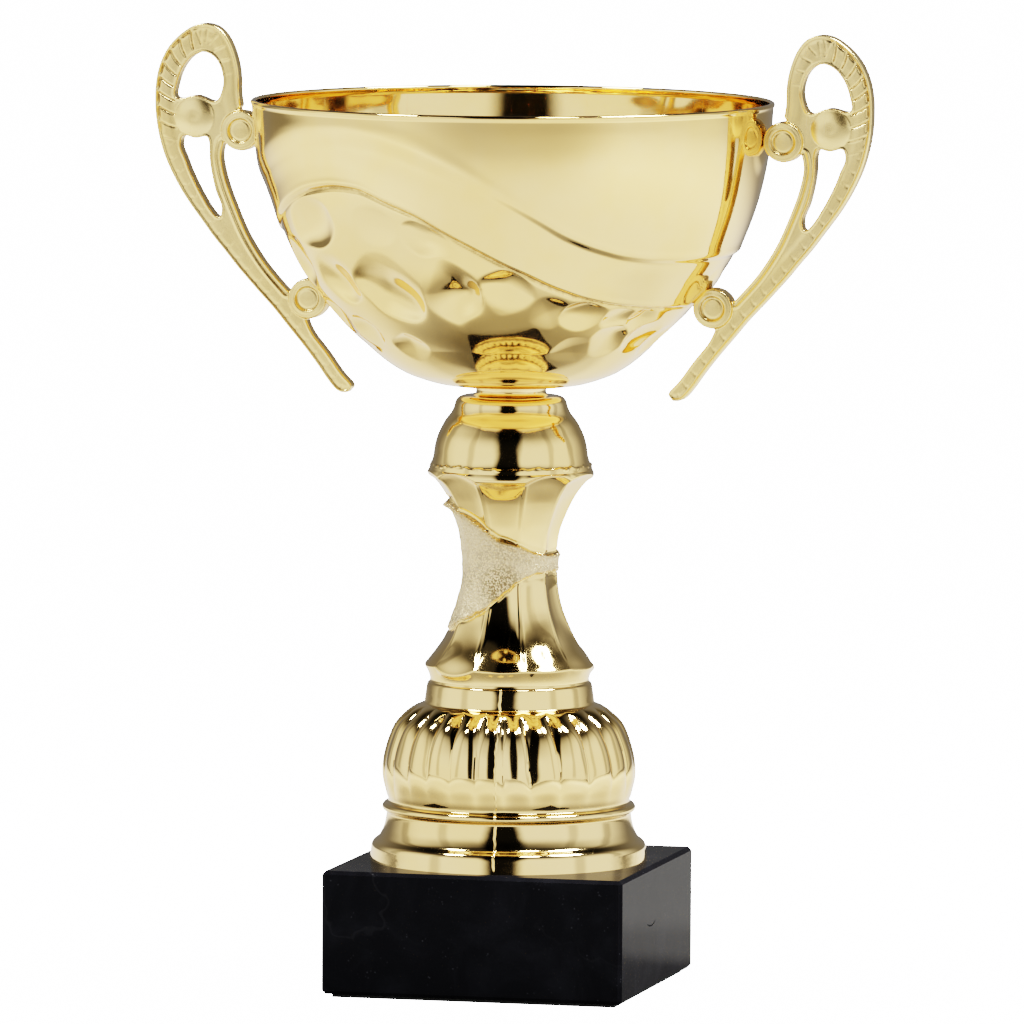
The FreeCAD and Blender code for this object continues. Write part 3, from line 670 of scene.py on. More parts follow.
def column():
    low = [(21.6, 82.7), (21.5, 83.3), (21.62, 84.2), (21.95, 85.2), (22.38, 86.2), (22.75, 86.95), (23.0, 87.45)]
    wall = [(23.0, 87.45), (22.3, 88.3), (21.2, 89.68), (20.05, 91.12), (18.75, 92.95), (17.45, 95.3), (16.2, 98.2),
            (15.2, 100.6), (14.35, 103.0), (13.75, 105.4), (13.3, 108.0), (13.05, 111.0), (12.9, 114.5),
            (12.85, 117.8), (13.1, 120.9), (13.7, 124.0), (14.7, 126.8), (15.9, 129.6), (17.3, 132.4),
            (18.7, 134.7), (20.1, 136.5), (21.2, 137.5), (22.0, 138.0)]
    rim = [(22.0, 138.0), (22.34, 138.3), (22.05, 140.4)]
    line = blur(joined([low, wall, rim], 0.1), 0.14, 0.1)
    total = arc_length(line)[-1]
    s = np.linspace(0, total, 236)
    P = resample(line, s)
    N = profile_normals(P)
    psi = columns(396)
    phi = np.degrees(psi) - CAM_AZ
    z = P[:, 1][:, None] + 0 * psi[None, :]
    w = 360.0 / PANELS
    t = ((phi - RIB0) / w)[None, :] + 0 * z
    panel = np.floor(t).astype(int) % PANELS
    t = t - np.floor(t)
    v = np.abs(2 * t - 1)                       # 1 on a rib, 0 in the middle of a flute
    depth = 1.0 * smooth(z, 90.5, 101.0) * (1 - smooth(z, 131.5, 137.8)) + 0.10 * smooth(z, 88.0, 94.0) * (1 - smooth(z, 136.0, 138.0))
    flute = -depth * (1 - v ** 2.2)
    # each rib is a fine pair with a thread-like groove between
    arcmm = (1 - v) * 0.5 * math.radians(w) * P[:, 0][:, None]
    ribenv = smooth(z, 89.0, 92.0) * (1 - smooth(z, 136.0, 138.4))
    flute += ribenv * (0.07 * gauss(arcmm - 0.55, 0.34) - 0.10 * gauss(arcmm, 0.28))
    up = ring_curve(sash_top, phi, 2.0)[None, :]
    dn = ring_curve(sash_low, phi, 2.0)[None, :]
    wobble = 0.35 * noise(30 * np.sin(psi), 30 * np.cos(psi), 0 * psi, 3.2)[None, :]
    m = smooth(z, dn + wobble - 0.35, dn + wobble + 0.35) * (1 - smooth(z, up - 0.3, up + 0.3))
    D = flute * (1 - 0.72 * m) + 0.38 * m
    left = ring_curve([(-90, 1.0), (-40, 0.85), (0, 0.6), (40, 0.45), (90, 0.35), (150, 0.45), (210, 0.8)], phi, 6)[None, :]
    # rolled lip along the ribbon's upper edge, with the undercut shadow above it
    D += (0.95 * left * gauss(z - up + 0.55, 0.62) - 0.35 * left * gauss(z - up - 0.75, 0.55))
    # ribbon creases that fan out towards the wide side
    fan = (z - dn) / np.maximum(up - dn, 3.0)
    X3 = P[:, 0][:, None] * np.sin(psi)[None, :]
    Y3 = -P[:, 0][:, None] * np.cos(psi)[None, :]
    D += m * 0.26 * left * np.sin(fan * 9.0 + 1.3 * noise(X3, Y3, z, 7.0) + 0.6)
    D += m * 0.11 * noise(X3, Y3, z, 0.62) + m * 0.07 * noise(X3, Y3, z, 1.3)
    D += -0.16 * gauss(z - dn - wobble + 0.5, 0.4)        # score line under the ribbon
    # loose flap where the ribbon turns away on the left
    dphi = ((phi + 86 + 180) % 360 - 180)[None, :]
    D += 0.85 * gauss(dphi, 9.0) * gauss(z - 131.2, 1.0)
    R = P[:, 0][:, None] + N[:, 0][:, None] * D
    Z = P[:, 1][:, None] + N[:, 1][:, None] * D
    # scalloped edges: the flare's lower lip and the rim's underside
    dip = np.array([0.25, 0.2, 0.45, 1.5, 0.3, 0.25, 1.4, 0.35, 0.25, 1.75])      # by flute, RIB0 first
    rise = np.array([0.0, 2.1, 1.2, 0.4, 1.9, 0.6, 1.7, 0.5, 1.4, 2.0])
    hump = (1 - v ** 2)
    Z = Z - dip[panel] * hump * gauss(P[:, 1][:, None] - 87.3, 1.9)
    zt = P[:, 1][:, None]
    Z = Z + rise[panel] * hump * np.where(zt < 138.0, gauss(zt - 138.0, 3.0), np.clip((140.4 - zt) / 2.4, 0, 1))
    Z = np.clip(Z, 82.7, 140.4)
    inner = np.array([(19.9, 140.4), (19.9, 139.4), (18.2, 137.6), (16.2, 134.4), (14.1, 130.8), (12.4, 126.8), (11.3, 122.8),
                      (10.6, 118.5), (10.6, 113.0), (10.9, 107.5), (11.8, 102.6), (13.4, 98.6), (15.4, 93.8),
                      (17.6, 89.9), (19.3, 87.6), (19.2, 86.4), (19.5, 82.7)])
    R = np.vstack([R, np.repeat(inner[:, :1], len(psi), 1)])
    Z = np.vstack([Z, np.repeat(inner[:, 1:], len(psi), 1)])
    V, F = lathe_grid(R, Z, psi)
    att = np.concatenate([m.ravel(), np.zeros(len(inner) * len(psi))])
    return mesh_object("fluted_column", V, F, [mat_column], attrs={"sash": att}, sharp=42)


# ====================================================================== cap
def column_cap():
    seg = [[(22.05, 140.4), (21.88, 141.5)],
           [(21.88, 141.5), (21.6, 141.85), (21.3, 142.5), (20.98, 143.8), (20.8, 145.2), (20.6, 146.6), (20.25, 148.1),
            (19.7, 149.7), (19.0, 151.2), (18.1, 152.9), (17.1, 154.3), (16.2, 155.4), (15.6, 156.5)],
           [(15.6, 156.5), (15.25, 157.5), (14.95, 158.6), (14.4, 159.4), (13.4, 160.0), (12.2, 160.2)],
           [(12.2, 160.2), (10.2, 160.25)],
           [(10.2, 160.25), (9.7, 160.7), (9.66, 162.9)]]
    line = blur(joined(seg, 0.1), 0.16, 0.1)
    total = arc_length(line)[-1]
    s = np.linspace(0, total, 150)
    P = resample(line, s)
    N = profile_normals(P)
    psi = columns(360)
    z = P[:, 1][:, None] + 0 * psi[None, :]
    v = np.abs(2 * ((np.degrees(psi) - CAM_AZ - RIB0) / 36.0 % 1.0) - 1)[None, :]
    env = smooth(z, 141.5, 146.0) * (1 - smooth(z, 152.0, 157.5))
    D = -0.10 * env * (1 - v ** 2)
    X3 = 22 * np.sin(psi)[None, :] + 0 * z
    Y3 = -22 * np.cos(psi)[None, :] + 0 * z
    # squeezed-out glue along the joint
    D += (0.10 + 0.30 * np.maximum(noise(X3, Y3, z * 0.2, 1.1), -0.3)) * gauss(z - 141.7 - 0.45 * noise(X3, Y3, 0 * z, 2.0), 0.26)
    D += 0.04 * noise(X3, Y3, z, 4.0)
    D *= smooth(162.9 - z, 0.0, 0.6)
    R = P[:, 0][:, None] + N[:, 0][:, None] * D
    Z = np.clip(P[:, 1][:, None] + N[:, 1][:, None] * D, 140.4, 162.9)
    inner = np.array([(3.3, 162.9), (3.3, 158.0), (12.6, 158.0), (13.0, 156.6), (13.9, 155.2), (15.4, 153.2),
                      (16.7, 151.2), (17.7, 149.2), (18.4, 147.0), (18.8, 144.9), (19.3, 142.6), (20.1, 140.4)])
    R = np.vstack([R, np.repeat(inner[:, :1], len(psi), 1)])
    Z = np.vstack([Z, np.repeat(inner[:, 1:], len(psi), 1)])
    V, F = lathe_grid(R, Z, psi)
    return mesh_object("domed_cap", V, F, [mat_mould], sharp=38)


# ================================================================== handles
handle_outer = [(45.3, 159.9), (46.9, 159.9), (49.8, 162.1), (52.9, 166.3), (56.0, 170.4),
                (59.3, 174.4), (62.6, 178.3), (65.9, 182.2), (69.5, 186.0), (73.0, 189.8),
                (76.4, 193.6), (79.7, 197.6), (83.0, 201.5), (86.1, 205.6), (89.2, 209.7),
                (92.1, 214.0), (94.6, 218.5), (96.7, 223.2), (98.2, 228.2), (99.1, 233.2),
                (99.4, 238.4), (99.1, 243.5), (97.8, 248.5), (95.3, 253.0), (91.6, 256.6),
                (87.1, 258.9), (82.2, 258.3), (78.7, 254.6), (76.8, 249.8), (75.9, 244.8),
                (75.8, 240.4), (75.3, 237.0)]
handle_bar = [(80.2, 226.6), (80.75, 223.6), (80.4, 220.5), (79.4, 216.6), (78.0, 212.6),
              (76.2, 208.2), (74.0, 203.3), (71.3, 198.6), (68.0, 193.9), (64.8, 190.2),
              (62.0, 187.2)]
handle_tail = [(57.0, 180.0), (55.2, 176.1), (51.9, 171.9), (48.9, 167.9), (45.5, 163.7),
               (44.0, 161.6), (45.3, 159.9)]
loop_hole = [(85.6, 251.2), (88.1, 250.6), (90.1, 249.0), (91.6, 246.9), (92.7, 244.4),
             (93.4, 241.9), (93.5, 239.0), (90.8, 238.9), (88.2, 239.5), (85.6, 238.9),
             (82.2, 238.2), (80.8, 240.6), (80.3, 243.2), (80.6, 245.8), (81.5, 248.2),
             (83.3, 250.3)]
slit_hole = [(84.9, 228.3), (87.8, 227.9), (91.4, 228.4), (92.1, 226.1), (91.0, 223.0),
             (89.8, 219.9), (88.4, 216.9), (86.9, 214.0), (85.2, 211.1), (83.4, 208.4),
             (81.2, 206.7), (80.6, 208.9), (81.8, 212.5), (82.8, 215.7), (83.5, 218.9),
             (84.0, 222.2), (84.1, 225.5)]
LUGS = ((75.2, 230.2), (56.2, 185.1))
BUTTON = (88.2, 233.8)


def nearest(X, Z, line, closed=False):
    """Distance from every grid point to a polyline, and where along it (mm)."""
    pts = np.stack([X.ravel(), Z.ravel()], 1).astype(np.float32)
    q = line.astype(np.float32)
    nxt = np.roll(q, -1, 0) if closed else np.vstack([q[1:], q[-1:]])
    s = np.concatenate([[0], np.cumsum(np.hypot(*(q[1:] - q[:-1]).T))]).astype(np.float32)
    best = np.empty(len(pts), np.int64)
    qq = (q ** 2).sum(1)
    for i in range(0, len(pts), 16384):
        p = pts[i:i + 16384]
        best[i:i + 16384] = np.argmin(qq[None, :] - 2 * p @ q.T, 1)

    def seg(a, b):
        ab = b - a
        L = np.maximum((ab ** 2).sum(1), 1e-9)
        t = np.clip(((pts - a) * ab).sum(1) / L, 0, 1)
        d = np.hypot(*(pts - a - ab * t[:, None]).T)
        return d, t

    d1, t1 = seg(q[best], nxt[best])
    prv = np.roll(q, 1, 0) if closed else np.vstack([q[:1], q[:-1]])
    d2, t2 = seg(prv[best], q[best])
    step = np.hypot(*(nxt[best] - q[best]).T)
    step2 = np.hypot(*(prv[best] - q[best]).T)
    along = np.where(d1 <= d2, s[best] + t1 * step, s[best] - (1 - t2) * step2)
    return np.minimum(d1, d2).reshape(X.shape), along.reshape(X.shape)


def inside(xs, zs, line):
    """Even-odd test on the grid, row by row."""
    x0, z0 = line[:, 0], line[:, 1]
    x1, z1 = np.roll(x0, -1), np.roll(z0, -1)
    out = np.zeros((len(xs), len(zs)), bool)
    for j, z in enumerate(zs):
        m = (z0 <= z) != (z1 <= z)
        xc = np.sort(x0[m] + (z - z0[m]) / (z1[m] - z0[m]) * (x1[m] - x0[m]))
        out[:, j] = np.searchsorted(xc, xs) % 2 == 1
    return out


def smin(a, b, k):
    h = np.clip(0.5 + 0.5 * (b - a) / k, 0, 1)
    return b * (1 - h) + a * h - k * h * (1 - h)


def close_diagonals(Fv):
    """Fill one corner wherever only two diagonal corners of a grid square are solid."""
    for _ in range(8):
        found = 0
        for ax in range(3):
            G = np.moveaxis(Fv, ax, 0)                # a view, so edits land in Fv
            a, b, c, d = G[:, :-1, :-1], G[:, 1:, :-1], G[:, :-1, 1:], G[:, 1:, 1:]
            m1 = (a < 0) & (d < 0) & (b >= 0) & (c >= 0)
            b[m1] = -0.02
            m2 = (a >= 0) & (d >= 0) & (b < 0) & (c < 0)
            a[m2] = -0.02
            found += int(m1.sum() + m2.sum())
        if not found:
            break
    return Fv


def surface_nets(Fv, xs, ys, zs):
    Fv = close_diagonals(Fv)
    S = Fv < 0
    nx, ny, nz = Fv.shape
    cnt = np.zeros((nx - 1, ny - 1, nz - 1), np.int8)
    for a in (0, 1):
        for b in (0, 1):
            for c in (0, 1):
                cnt += S[a:nx - 1 + a, b:ny - 1 + b, c:nz - 1 + c]
    act = (cnt > 0) & (cnt < 8)
    idx = np.full(act.shape, -1, np.int64)
    cell = np.argwhere(act)
    idx[act] = np.arange(len(cell))
    acc = np.zeros((len(cell), 3))
    num = np.zeros(len(cell))
    for ax in range(3):
        b, c = (ax + 1) % 3, (ax + 2) % 3
        for ob in (0, 1):
            for oc in (0, 1):
                o = np.zeros(3, int)
                o[b], o[c] = ob, oc
                o2 = o.copy()
                o2[ax] = 1
                p, q = cell + o, cell + o2
                fa = Fv[p[:, 0], p[:, 1], p[:, 2]]
                fb = Fv[q[:, 0], q[:, 1], q[:, 2]]
                m = (fa < 0) != (fb < 0)
                t = fa[m] / (fa[m] - fb[m])
                pos = np.repeat(o[None, :].astype(float), m.sum(), 0)
                pos[:, ax] = t
                acc[m] += pos
                num[m] += 1
    v = cell + acc / num[:, None]
    step = np.array([xs[1] - xs[0], ys[1] - ys[0], zs[1] - zs[0]])
    V = v * step + np.array([xs[0], ys[0], zs[0]])
    faces = []
    for ax in range(3):
        b, c = (ax + 1) % 3, (ax + 2) % 3
        lo = [slice(None)] * 3
        hi = [slice(None)] * 3
        lo[ax], hi[ax] = slice(0, -1), slice(1, None)
        s0, s1 = S[tuple(lo)], S[tuple(hi)]
        e = np.argwhere(s0 != s1)
        e = e[(e[:, b] > 0) & (e[:, c] > 0) & (e[:, b] < Fv.shape[b] - 1) & (e[:, c] < Fv.shape[c] - 1)]
        d = s0[e[:, 0], e[:, 1], e[:, 2]]
        quad = []
        for ob, oc in ((-1, -1), (0, -1), (0, 0), (-1, 0)):
            q = e.copy()
            q[:, b] += ob
            q[:, c] += oc
            quad.append(idx[q[:, 0], q[:, 1], q[:, 2]])
        quad = np.stack(quad, 1)
        quad[~d] = quad[~d][:, ::-1]
        faces.append(quad)
    return V, np.vstack(faces)


def handle_shape():
    h = 0.225
    xs = np.arange(42.6, 100.8, h)
    zs = np.arange(158.8, 260.2, h)
    ys = np.linspace(-5.32, 5.32, 36)
    X, Z = np.meshgrid(xs, zs, indexing="ij")
    outer = spline(handle_outer, 0.25)
    bar = spline(handle_bar, 0.25)
    shoulder = spline([handle_outer[-1], (78.6, 230.5), handle_bar[0]], 0.25)
    tail = spline(handle_tail, 0.25)
    link = spline([handle_bar[-1], handle_tail[0]], 0.25)
    main = np.vstack([outer[:-1], shoulder[:-1], bar[:-1], link[:-1], tail[:-1]])
    loop = spline(loop_hole, 0.2, True)
    slit = spline(slit_hole, 0.2, True)
    d_main, _ = nearest(X, Z, main, True)
    d_main = np.where(inside(xs, zs, main), -d_main, d_main)
    d_loop, _ = nearest(X, Z, loop, True)
    d_loop = np.where(inside(xs, zs, loop), -d_loop, d_loop)
    d_slit, _ = nearest(X, Z, slit, True)
    d_slit = np.where(inside(xs, zs, slit), -d_slit, d_slit)
    d_out, s_out = nearest(X, Z, outer)
    d_bar, s_bar = nearest(X, Z, bar)
    d_tail, _ = nearest(X, Z, tail)
    body = np.maximum(np.maximum(d_main, -d_loop), -d_slit)
    d_hole = np.minimum(d_loop, d_slit)
    # ---- half thickness over the plate
    H = np.full(X.shape, 2.12)
    H += 0.27 * (1 - smooth(d_out, 0.45, 0.85))                       # raised border, outside edge
    H += 0.24 * (1 - smooth(d_hole, 0.40, 0.75))                      # raised border round the openings
    H += 0.30 * (1 - smooth(d_bar, 0.35, 0.65)) + 0.26 * gauss(d_bar - 1.75, 0.36)
    H += 0.22 * (1 - smooth(d_tail, 0.35, 0.7))
    # soft crown of the rope band
    band = smooth(d_out, 0.8, 2.2) * (1 - smooth(d_out, 3.2, 5.0))
    H += 0.10 * band
    # rope strands
    upper = smooth(s_out, 84, 97) * (1 - smooth(s_out, 119, 126))
    top = smooth(s_out, 117, 123) * (1 - smooth(s_out, 138, 146))
    tailz = 1 - smooth(s_out, 78, 92)
    pitch = 4.15
    k = np.floor(s_out / pitch)
    reach = smooth(d_out, 0.55, 0.95) * smooth(d_hole, 0.35, 0.8)
    for shift in (-1, 0, 1):
        s0 = (k + shift + 0.5) * pitch
        rise = 2.6 * (1 - np.clip((d_out - 1.0) / 4.6, 0, 1)) ** 1.2
        g1 = gauss(s_out - s0 - rise, 0.27) * smooth(d_out, 0.85, 1.2) * (1 - smooth(d_out, 5.2, 6.0))
        g2 = gauss(d_out - 1.08, 0.24) * smooth(s_out - s0, -0.9, 0.1) * (1 - smooth(s_out - s0, 2.2, 2.9))
        g = np.maximum(g1, g2)
        H -= 0.50 * upper * g * reach
        # top of the loop: short radial strokes
        g3 = gauss(s_out - s0, 0.26) * smooth(d_out, 1.4, 2.2) * (1 - smooth(d_out, 4.8, 5.6))
        H -= 0.12 * top * g3
        # tail: short ticks with a dot at the end, every strand
        tick = gauss(s_out - s0 - 0.25 * (d_out - 2.5), 0.24) * smooth(d_out, 1.5, 1.9) * (1 - smooth(d_out, 3.1, 3.5))
        dot = gauss(np.hypot(s_out - s0 + 0.1, d_out - 1.45), 0.38)
        H -= tailz * (0.055 * tick + 0.12 * dot)
    # ---- lugs, button
    G = np.zeros_like(H)                                              # painted shade, darkened in the material: grooves, borders, lug rings and the button's edge
    for shift in (-1, 0, 1):
        s0 = (k + shift + 0.5) * pitch
        rise = 2.6 * (1 - np.clip((d_out - 1.0) / 4.6, 0, 1)) ** 1.2
        g1 = gauss(s_out - s0 - rise, 0.30) * smooth(d_out, 0.85, 1.2) * (1 - smooth(d_out, 5.2, 6.0))
        g2 = gauss(d_out - 1.08, 0.26) * smooth(s_out - s0, -0.9, 0.1) * (1 - smooth(s_out - s0, 2.2, 2.9))
        G = np.maximum(G, upper * np.maximum(g1, g2) * reach)
        G = np.maximum(G, 0.35 * tailz * gauss(np.hypot(s_out - s0 + 0.1, d_out - 1.45), 0.34))
    G = np.maximum(G, 0.40 * gauss(d_out - 0.95, 0.22) * (0.35 + 0.65 * smooth(s_out, 84, 100)))
    G = np.maximum(G, 0.45 * gauss(d_hole - 0.15, 0.22))
    G = np.maximum(G, 0.55 * gauss(d_bar - 0.95, 0.20))
    d2 = body
    for cx, cz in LUGS:
        r = np.hypot(X - cx, Z - cz)
        d2 = smin(d2, r - 5.5, 0.7)
        HL = 3.44 - 0.10 * (r / 5.5) ** 2
        HL = HL - 0.62 * (1 - smooth(r, 3.0, 3.4)) + 0.05 * (1 - smooth(r, 0.0, 2.5)) - 0.14 * gauss(r - 2.8, 0.28)
        HL = HL + 0.07 * gauss(r - 3.8, 0.35)
        H = np.where(r < 7, np.maximum(H, HL * (1 - smooth(r, 5.2, 5.9))), H)
        G = np.where(r < 6, 0, G)
        # painted shadow: the lug's inner ring is darker on its left side
        G = np.maximum(G, gauss(r - 3.15, 0.26) * (0.45 + 0.5 * (X < cx + 0.4)))
        G = np.maximum(G, 0.5 * gauss(r - 5.35, 0.25))
    r = np.hypot(X - BUTTON[0], Z - BUTTON[1])
    d2 = smin(d2, r - 5.4, 0.5)
    HB = 2.0 + 1.05 * np.sqrt(np.maximum(1 - (r / 5.6) ** 2, 0)) ** 1.4 - 0.16 * gauss(r, 1.5)
    H = np.where(r < 5.4, np.maximum(H, HB), H)
    G = np.where(r < 5.0, 0.25 * gauss(r, 1.0), G)
    # painted shade along the button's upper edge
    G = np.maximum(G, 0.4 * gauss(r - 5.3, 0.3) * (Z > BUTTON[1] + 1.0))
    H += 0.02 * noise(X, 0 * X, Z, 3.0)
    # ---- solid: rounded intersection of the plate's outline and its thickness
    rho = 0.55
    a = (d2 + rho)[:, None, :]
    b = np.abs(ys)[None, :, None] - H[:, None, :] + rho
    Fv = np.minimum(np.maximum(a, b), 0) + np.hypot(np.maximum(a, 0), np.maximum(b, 0)) - rho
    # ---- cut to the bowl, bedded 0.15 mm into it
    Rz = np.interp(zs, cad_s[:, 1], cad_s[:, 0], left=0.0)
    nr = np.interp(zs, cad_s[:, 1], profile_normals(cad_s)[:, 0])
    rad = np.hypot(xs[:, None, None], ys[None, :, None])
    B = (rad - Rz[None, None, :]) * nr[None, None, :] + 0.15
    Fv = np.where(zs[None, None, :] > 163.0, np.maximum(Fv, -B), Fv)
    V, Q = surface_nets(Fv.astype(np.float64), xs, ys, zs)
    i = np.clip(np.round((V[:, 0] - xs[0]) / h).astype(int), 0, len(xs) - 1)
    j = np.clip(np.round((V[:, 2] - zs[0]) / h).astype(int), 0, len(zs) - 1)
    return V, Q, np.clip(G[i, j], 0, 1)


def handles():
    V, Q, G = handle_shape()
    # two light passes take the grid's grain off without moving edges
    e = np.vstack([Q[:, [0, 1]], Q[:, [1, 2]], Q[:, [2, 3]], Q[:, [3, 0]]])
    deg = np.bincount(e.ravel(), minlength=len(V)).astype(float)
    for lam in (0.40, -0.36):
        acc = np.zeros_like(V)
        for c in range(3):
            acc[:, c] = np.bincount(e[:, 0], V[e[:, 1], c], len(V)) + np.bincount(e[:, 1], V[e[:, 0], c], len(V))
        V = V + lam * (acc / deg[:, None] - V)
    right = mesh_object("loop_handle_right", V, Q, [mat_satin], attrs={"groove": G})
    M = V.copy()
    M[:, 0] *= -1
    left = mesh_object("loop_handle_left", M, Q[:, ::-1], [mat_satin], attrs={"groove": G})
    return right, left


# ============================================================= threaded rod
def rod():
    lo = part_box("tie_rod")[0]
    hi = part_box("tie_rod")[1]
    z0, z1 = lo[2] / MM, hi[2] / MM
    cols = 28
    psi = np.linspace(0, 2 * math.pi, cols, endpoint=False)
    z = np.arange(z0, z1 + 1e-6, 0.125)
    z[-1] = z1
    Zg = z[:, None] + 0 * psi[None, :]
    ph = (Zg / 1.0 - psi[None, :] / (2 * math.pi)) % 1.0
    tri = np.abs(2 * ph - 1)
    tri = np.clip((tri - 0.12) / 0.72, 0, 1)
    R = 2.98 - 0.58 * tri
    end = np.minimum(Zg - z0, z1 - Zg)
    R = np.minimum(R, 2.35 + np.minimum(end, 0.63))
    V, F = [], []
    rows = len(z)
    V = np.stack([R * np.sin(psi), -R * np.cos(psi), Zg], -1).reshape(-1, 3)
    i = np.arange(rows - 1)[:, None]
    j = np.arange(cols)[None, :]
    F = np.stack([i * cols + j, i * cols + (j + 1) % cols, (i + 1) * cols + (j + 1) % cols, (i + 1) * cols + j], -1).reshape(-1, 4)
    n = len(V)
    V = np.vstack([V, [[0, 0, z0], [0, 0, z1]]])
    jj = np.arange(cols)
    bot = np.stack([np.full(cols, n), (jj + 1) % cols, jj, jj], 1)
    t0 = (rows - 1) * cols
    topf = np.stack([np.full(cols, n + 1), t0 + jj, t0 + (jj + 1) % cols, t0 + (jj + 1) % cols], 1)
    return mesh_object("threaded_rod", V, np.vstack([F, bot, topf]), [mat_zinc], sharp=50)


# ================================================================= assemble
piece = bowl()
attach(piece, "root"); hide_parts("bowl")
piece = foot()
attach(piece, "root"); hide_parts("foot")
piece = column()
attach(piece, "root"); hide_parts("column")
piece = column_cap()
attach(piece, "root"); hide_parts("column_cap")
right, left = handles()
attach(right, "root"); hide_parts("handle_right")
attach(left, "root"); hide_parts("handle_left")
piece = rod()
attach(piece, "root"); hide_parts("tie_rod")

for node, mat in (("marble_base", mat_stone), ("base_felt", mat_felt), ("base_washer", mat_zinc), ("base_nut", mat_zinc),
                  ("bowl_washer", mat_zinc), ("bowl_nut", mat_zinc), ("handle_screws", mat_zinc), ("screw_washers", mat_zinc)):
    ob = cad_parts[node]
    if not ob.material_slots:
        ob.data.materials.append(mat)
    for sl in ob.material_slots:
        sl.material = mat


# ==================================================================== stage
def floor():
    size = 60.0
    me = bpy.data.meshes.new("floor")
    me.from_pydata([(-size, -size, 0), (size, -size, 0), (size, size, 0), (-size, size, 0)], [], [(0, 1, 2, 3)])
    ob = bpy.data.objects.new("floor", me)
    bpy.context.scene.collection.objects.link(ob)
    m = bpy.data.materials.new("floor")
    m.use_nodes = True
    t = Tree(m.node_tree)
    out = t.node("ShaderNodeOutputMaterial")
    dif = t.node("ShaderNodeBsdfDiffuse")
    dif.inputs[0].default_value = (0.80, 0.795, 0.785, 1)
    lp = t.node("ShaderNodeLightPath")
    em_cam = t.node("ShaderNodeEmission")
    em_cam.inputs[0].default_value = (1, 1, 1, 1)
    em_cam.inputs[1].default_value = 14.0
    geo = t.node("ShaderNodeNewGeometry")
    sep = t.node("ShaderNodeSeparateXYZ")
    t.put(sep.inputs[0], geo.outputs["Position"])
    # painted shade: the front of the table falls off towards the dark end of the room, and the far rear dims too
    az = math.radians(CAM_AZ)
    along = t.math("ADD", t.math("MULTIPLY", sep.outputs[0], math.sin(az)), t.math("MULTIPLY", sep.outputs[1], -math.cos(az)))
    across = t.math("ADD", t.math("MULTIPLY", sep.outputs[0], math.cos(az)), t.math("MULTIPLY", sep.outputs[1], math.sin(az)))
    ratio = t.math("DIVIDE", t.math("ABSOLUTE", across), t.math("MAXIMUM", along, 0.05))
    sector = t.remap(ratio, 0.25, 1.25, 1.0, 0.0, True)
    front = t.math("MULTIPLY", sector, t.remap(along, 0.18, 0.95, 0.0, 1.0, True))
    rear = t.remap(along, -0.22, -1.3, 0.0, 1.0, True)
    shade = t.math("MULTIPLY", t.math("SUBTRACT", 1.0, t.math("MULTIPLY", front, 0.5)),
                   t.math("SUBTRACT", 1.0, t.math("MULTIPLY", rear, 0.8)))
    # painted shadow: the table is dimmest right round the plinth, less so behind it
    dist = t.math("SQRT", t.math("ADD", t.math("MULTIPLY", along, along), t.math("MULTIPLY", across, across)))
    near = t.math("MAXIMUM", t.remap(dist, 0.06, 0.18, 0.24, 1.0, True), t.remap(along, -0.015, -0.07, 0.0, 0.75, True))
    shade = t.math("MULTIPLY", shade, near)
    # the floor's colour carries this painted shade
    t.put(dif.inputs[0], t.mix(shade, (0.0, 0.0, 0.0, 1), (0.46, 0.455, 0.445, 1)))
    # painted light: for all but camera rays the floor glows, by the painted shade and more further out
    em = t.node("ShaderNodeEmission")
    em.inputs[0].default_value = (1.0, 0.99, 0.97, 1)
    t.put(em.inputs[1], t.math("MULTIPLY", shade, t.remap(dist, 0.22, 0.75, 0.15, 0.85, True)))
    mixed = t.node("ShaderNodeMixShader")
    t.put(mixed.inputs[0], lp.outputs["Is Camera Ray"])
    t.put(mixed.inputs[1], em.outputs[0])
    t.put(mixed.inputs[2], em_cam.outputs[0])
    add = t.node("ShaderNodeAddShader")
    t.put(add.inputs[0], dif.outputs[0])
    t.put(add.inputs[1], mixed.outputs[0])
    clear = t.node("ShaderNodeBsdfTransparent")
    top = t.node("ShaderNodeMixShader")
    t.put(top.inputs[0], geo.outputs["Backfacing"])
    t.put(top.inputs[1], add.outputs[0])
    t.put(top.inputs[2], clear.outputs[0])
    t.put(out.inputs[0], top.outputs[0])
    me.materials.append(m)


floor()

world = bpy.data.worlds.new("tent")
world.use_nodes = True
bpy.context.scene.world = world
w = Tree(world.node_tree)
wout = w.node("ShaderNodeOutputWorld")
bg = w.node("ShaderNodeBackground")
gen = w.node("ShaderNodeTexCoord").outputs["Generated"]
nrm = w.node("ShaderNodeVectorMath", operation="NORMALIZE")
w.put(nrm.inputs[0], gen)
sp = w.node("ShaderNodeSeparateXYZ")
w.put(sp.inputs[0], nrm.outputs[0])
dx, dy, dz = sp.outputs
el = w.math("ARCSINE", dz)
psi_w = w.math("ARCTAN2", dx, w.math("MULTIPLY", dy, -1.0))
phi_w = w.math("WRAP", w.math("SUBTRACT", psi_w, math.radians(CAM_AZ)), math.pi, -math.pi)
ceiling = w.remap(el, math.radians(17), math.radians(52), 1.5, 0.03, True)


def seam(az, width, level):
    """A thin darker gap between two soft panels."""
    d = w.math("ABSOLUTE", w.math("SUBTRACT", phi_w, w.math("ADD", math.radians(az), w.math("MULTIPLY", el, 0.12 if az > 0 else -0.12))))
    return w.remap(d, math.radians(width * 0.25), math.radians(width), level, 1.0, True)


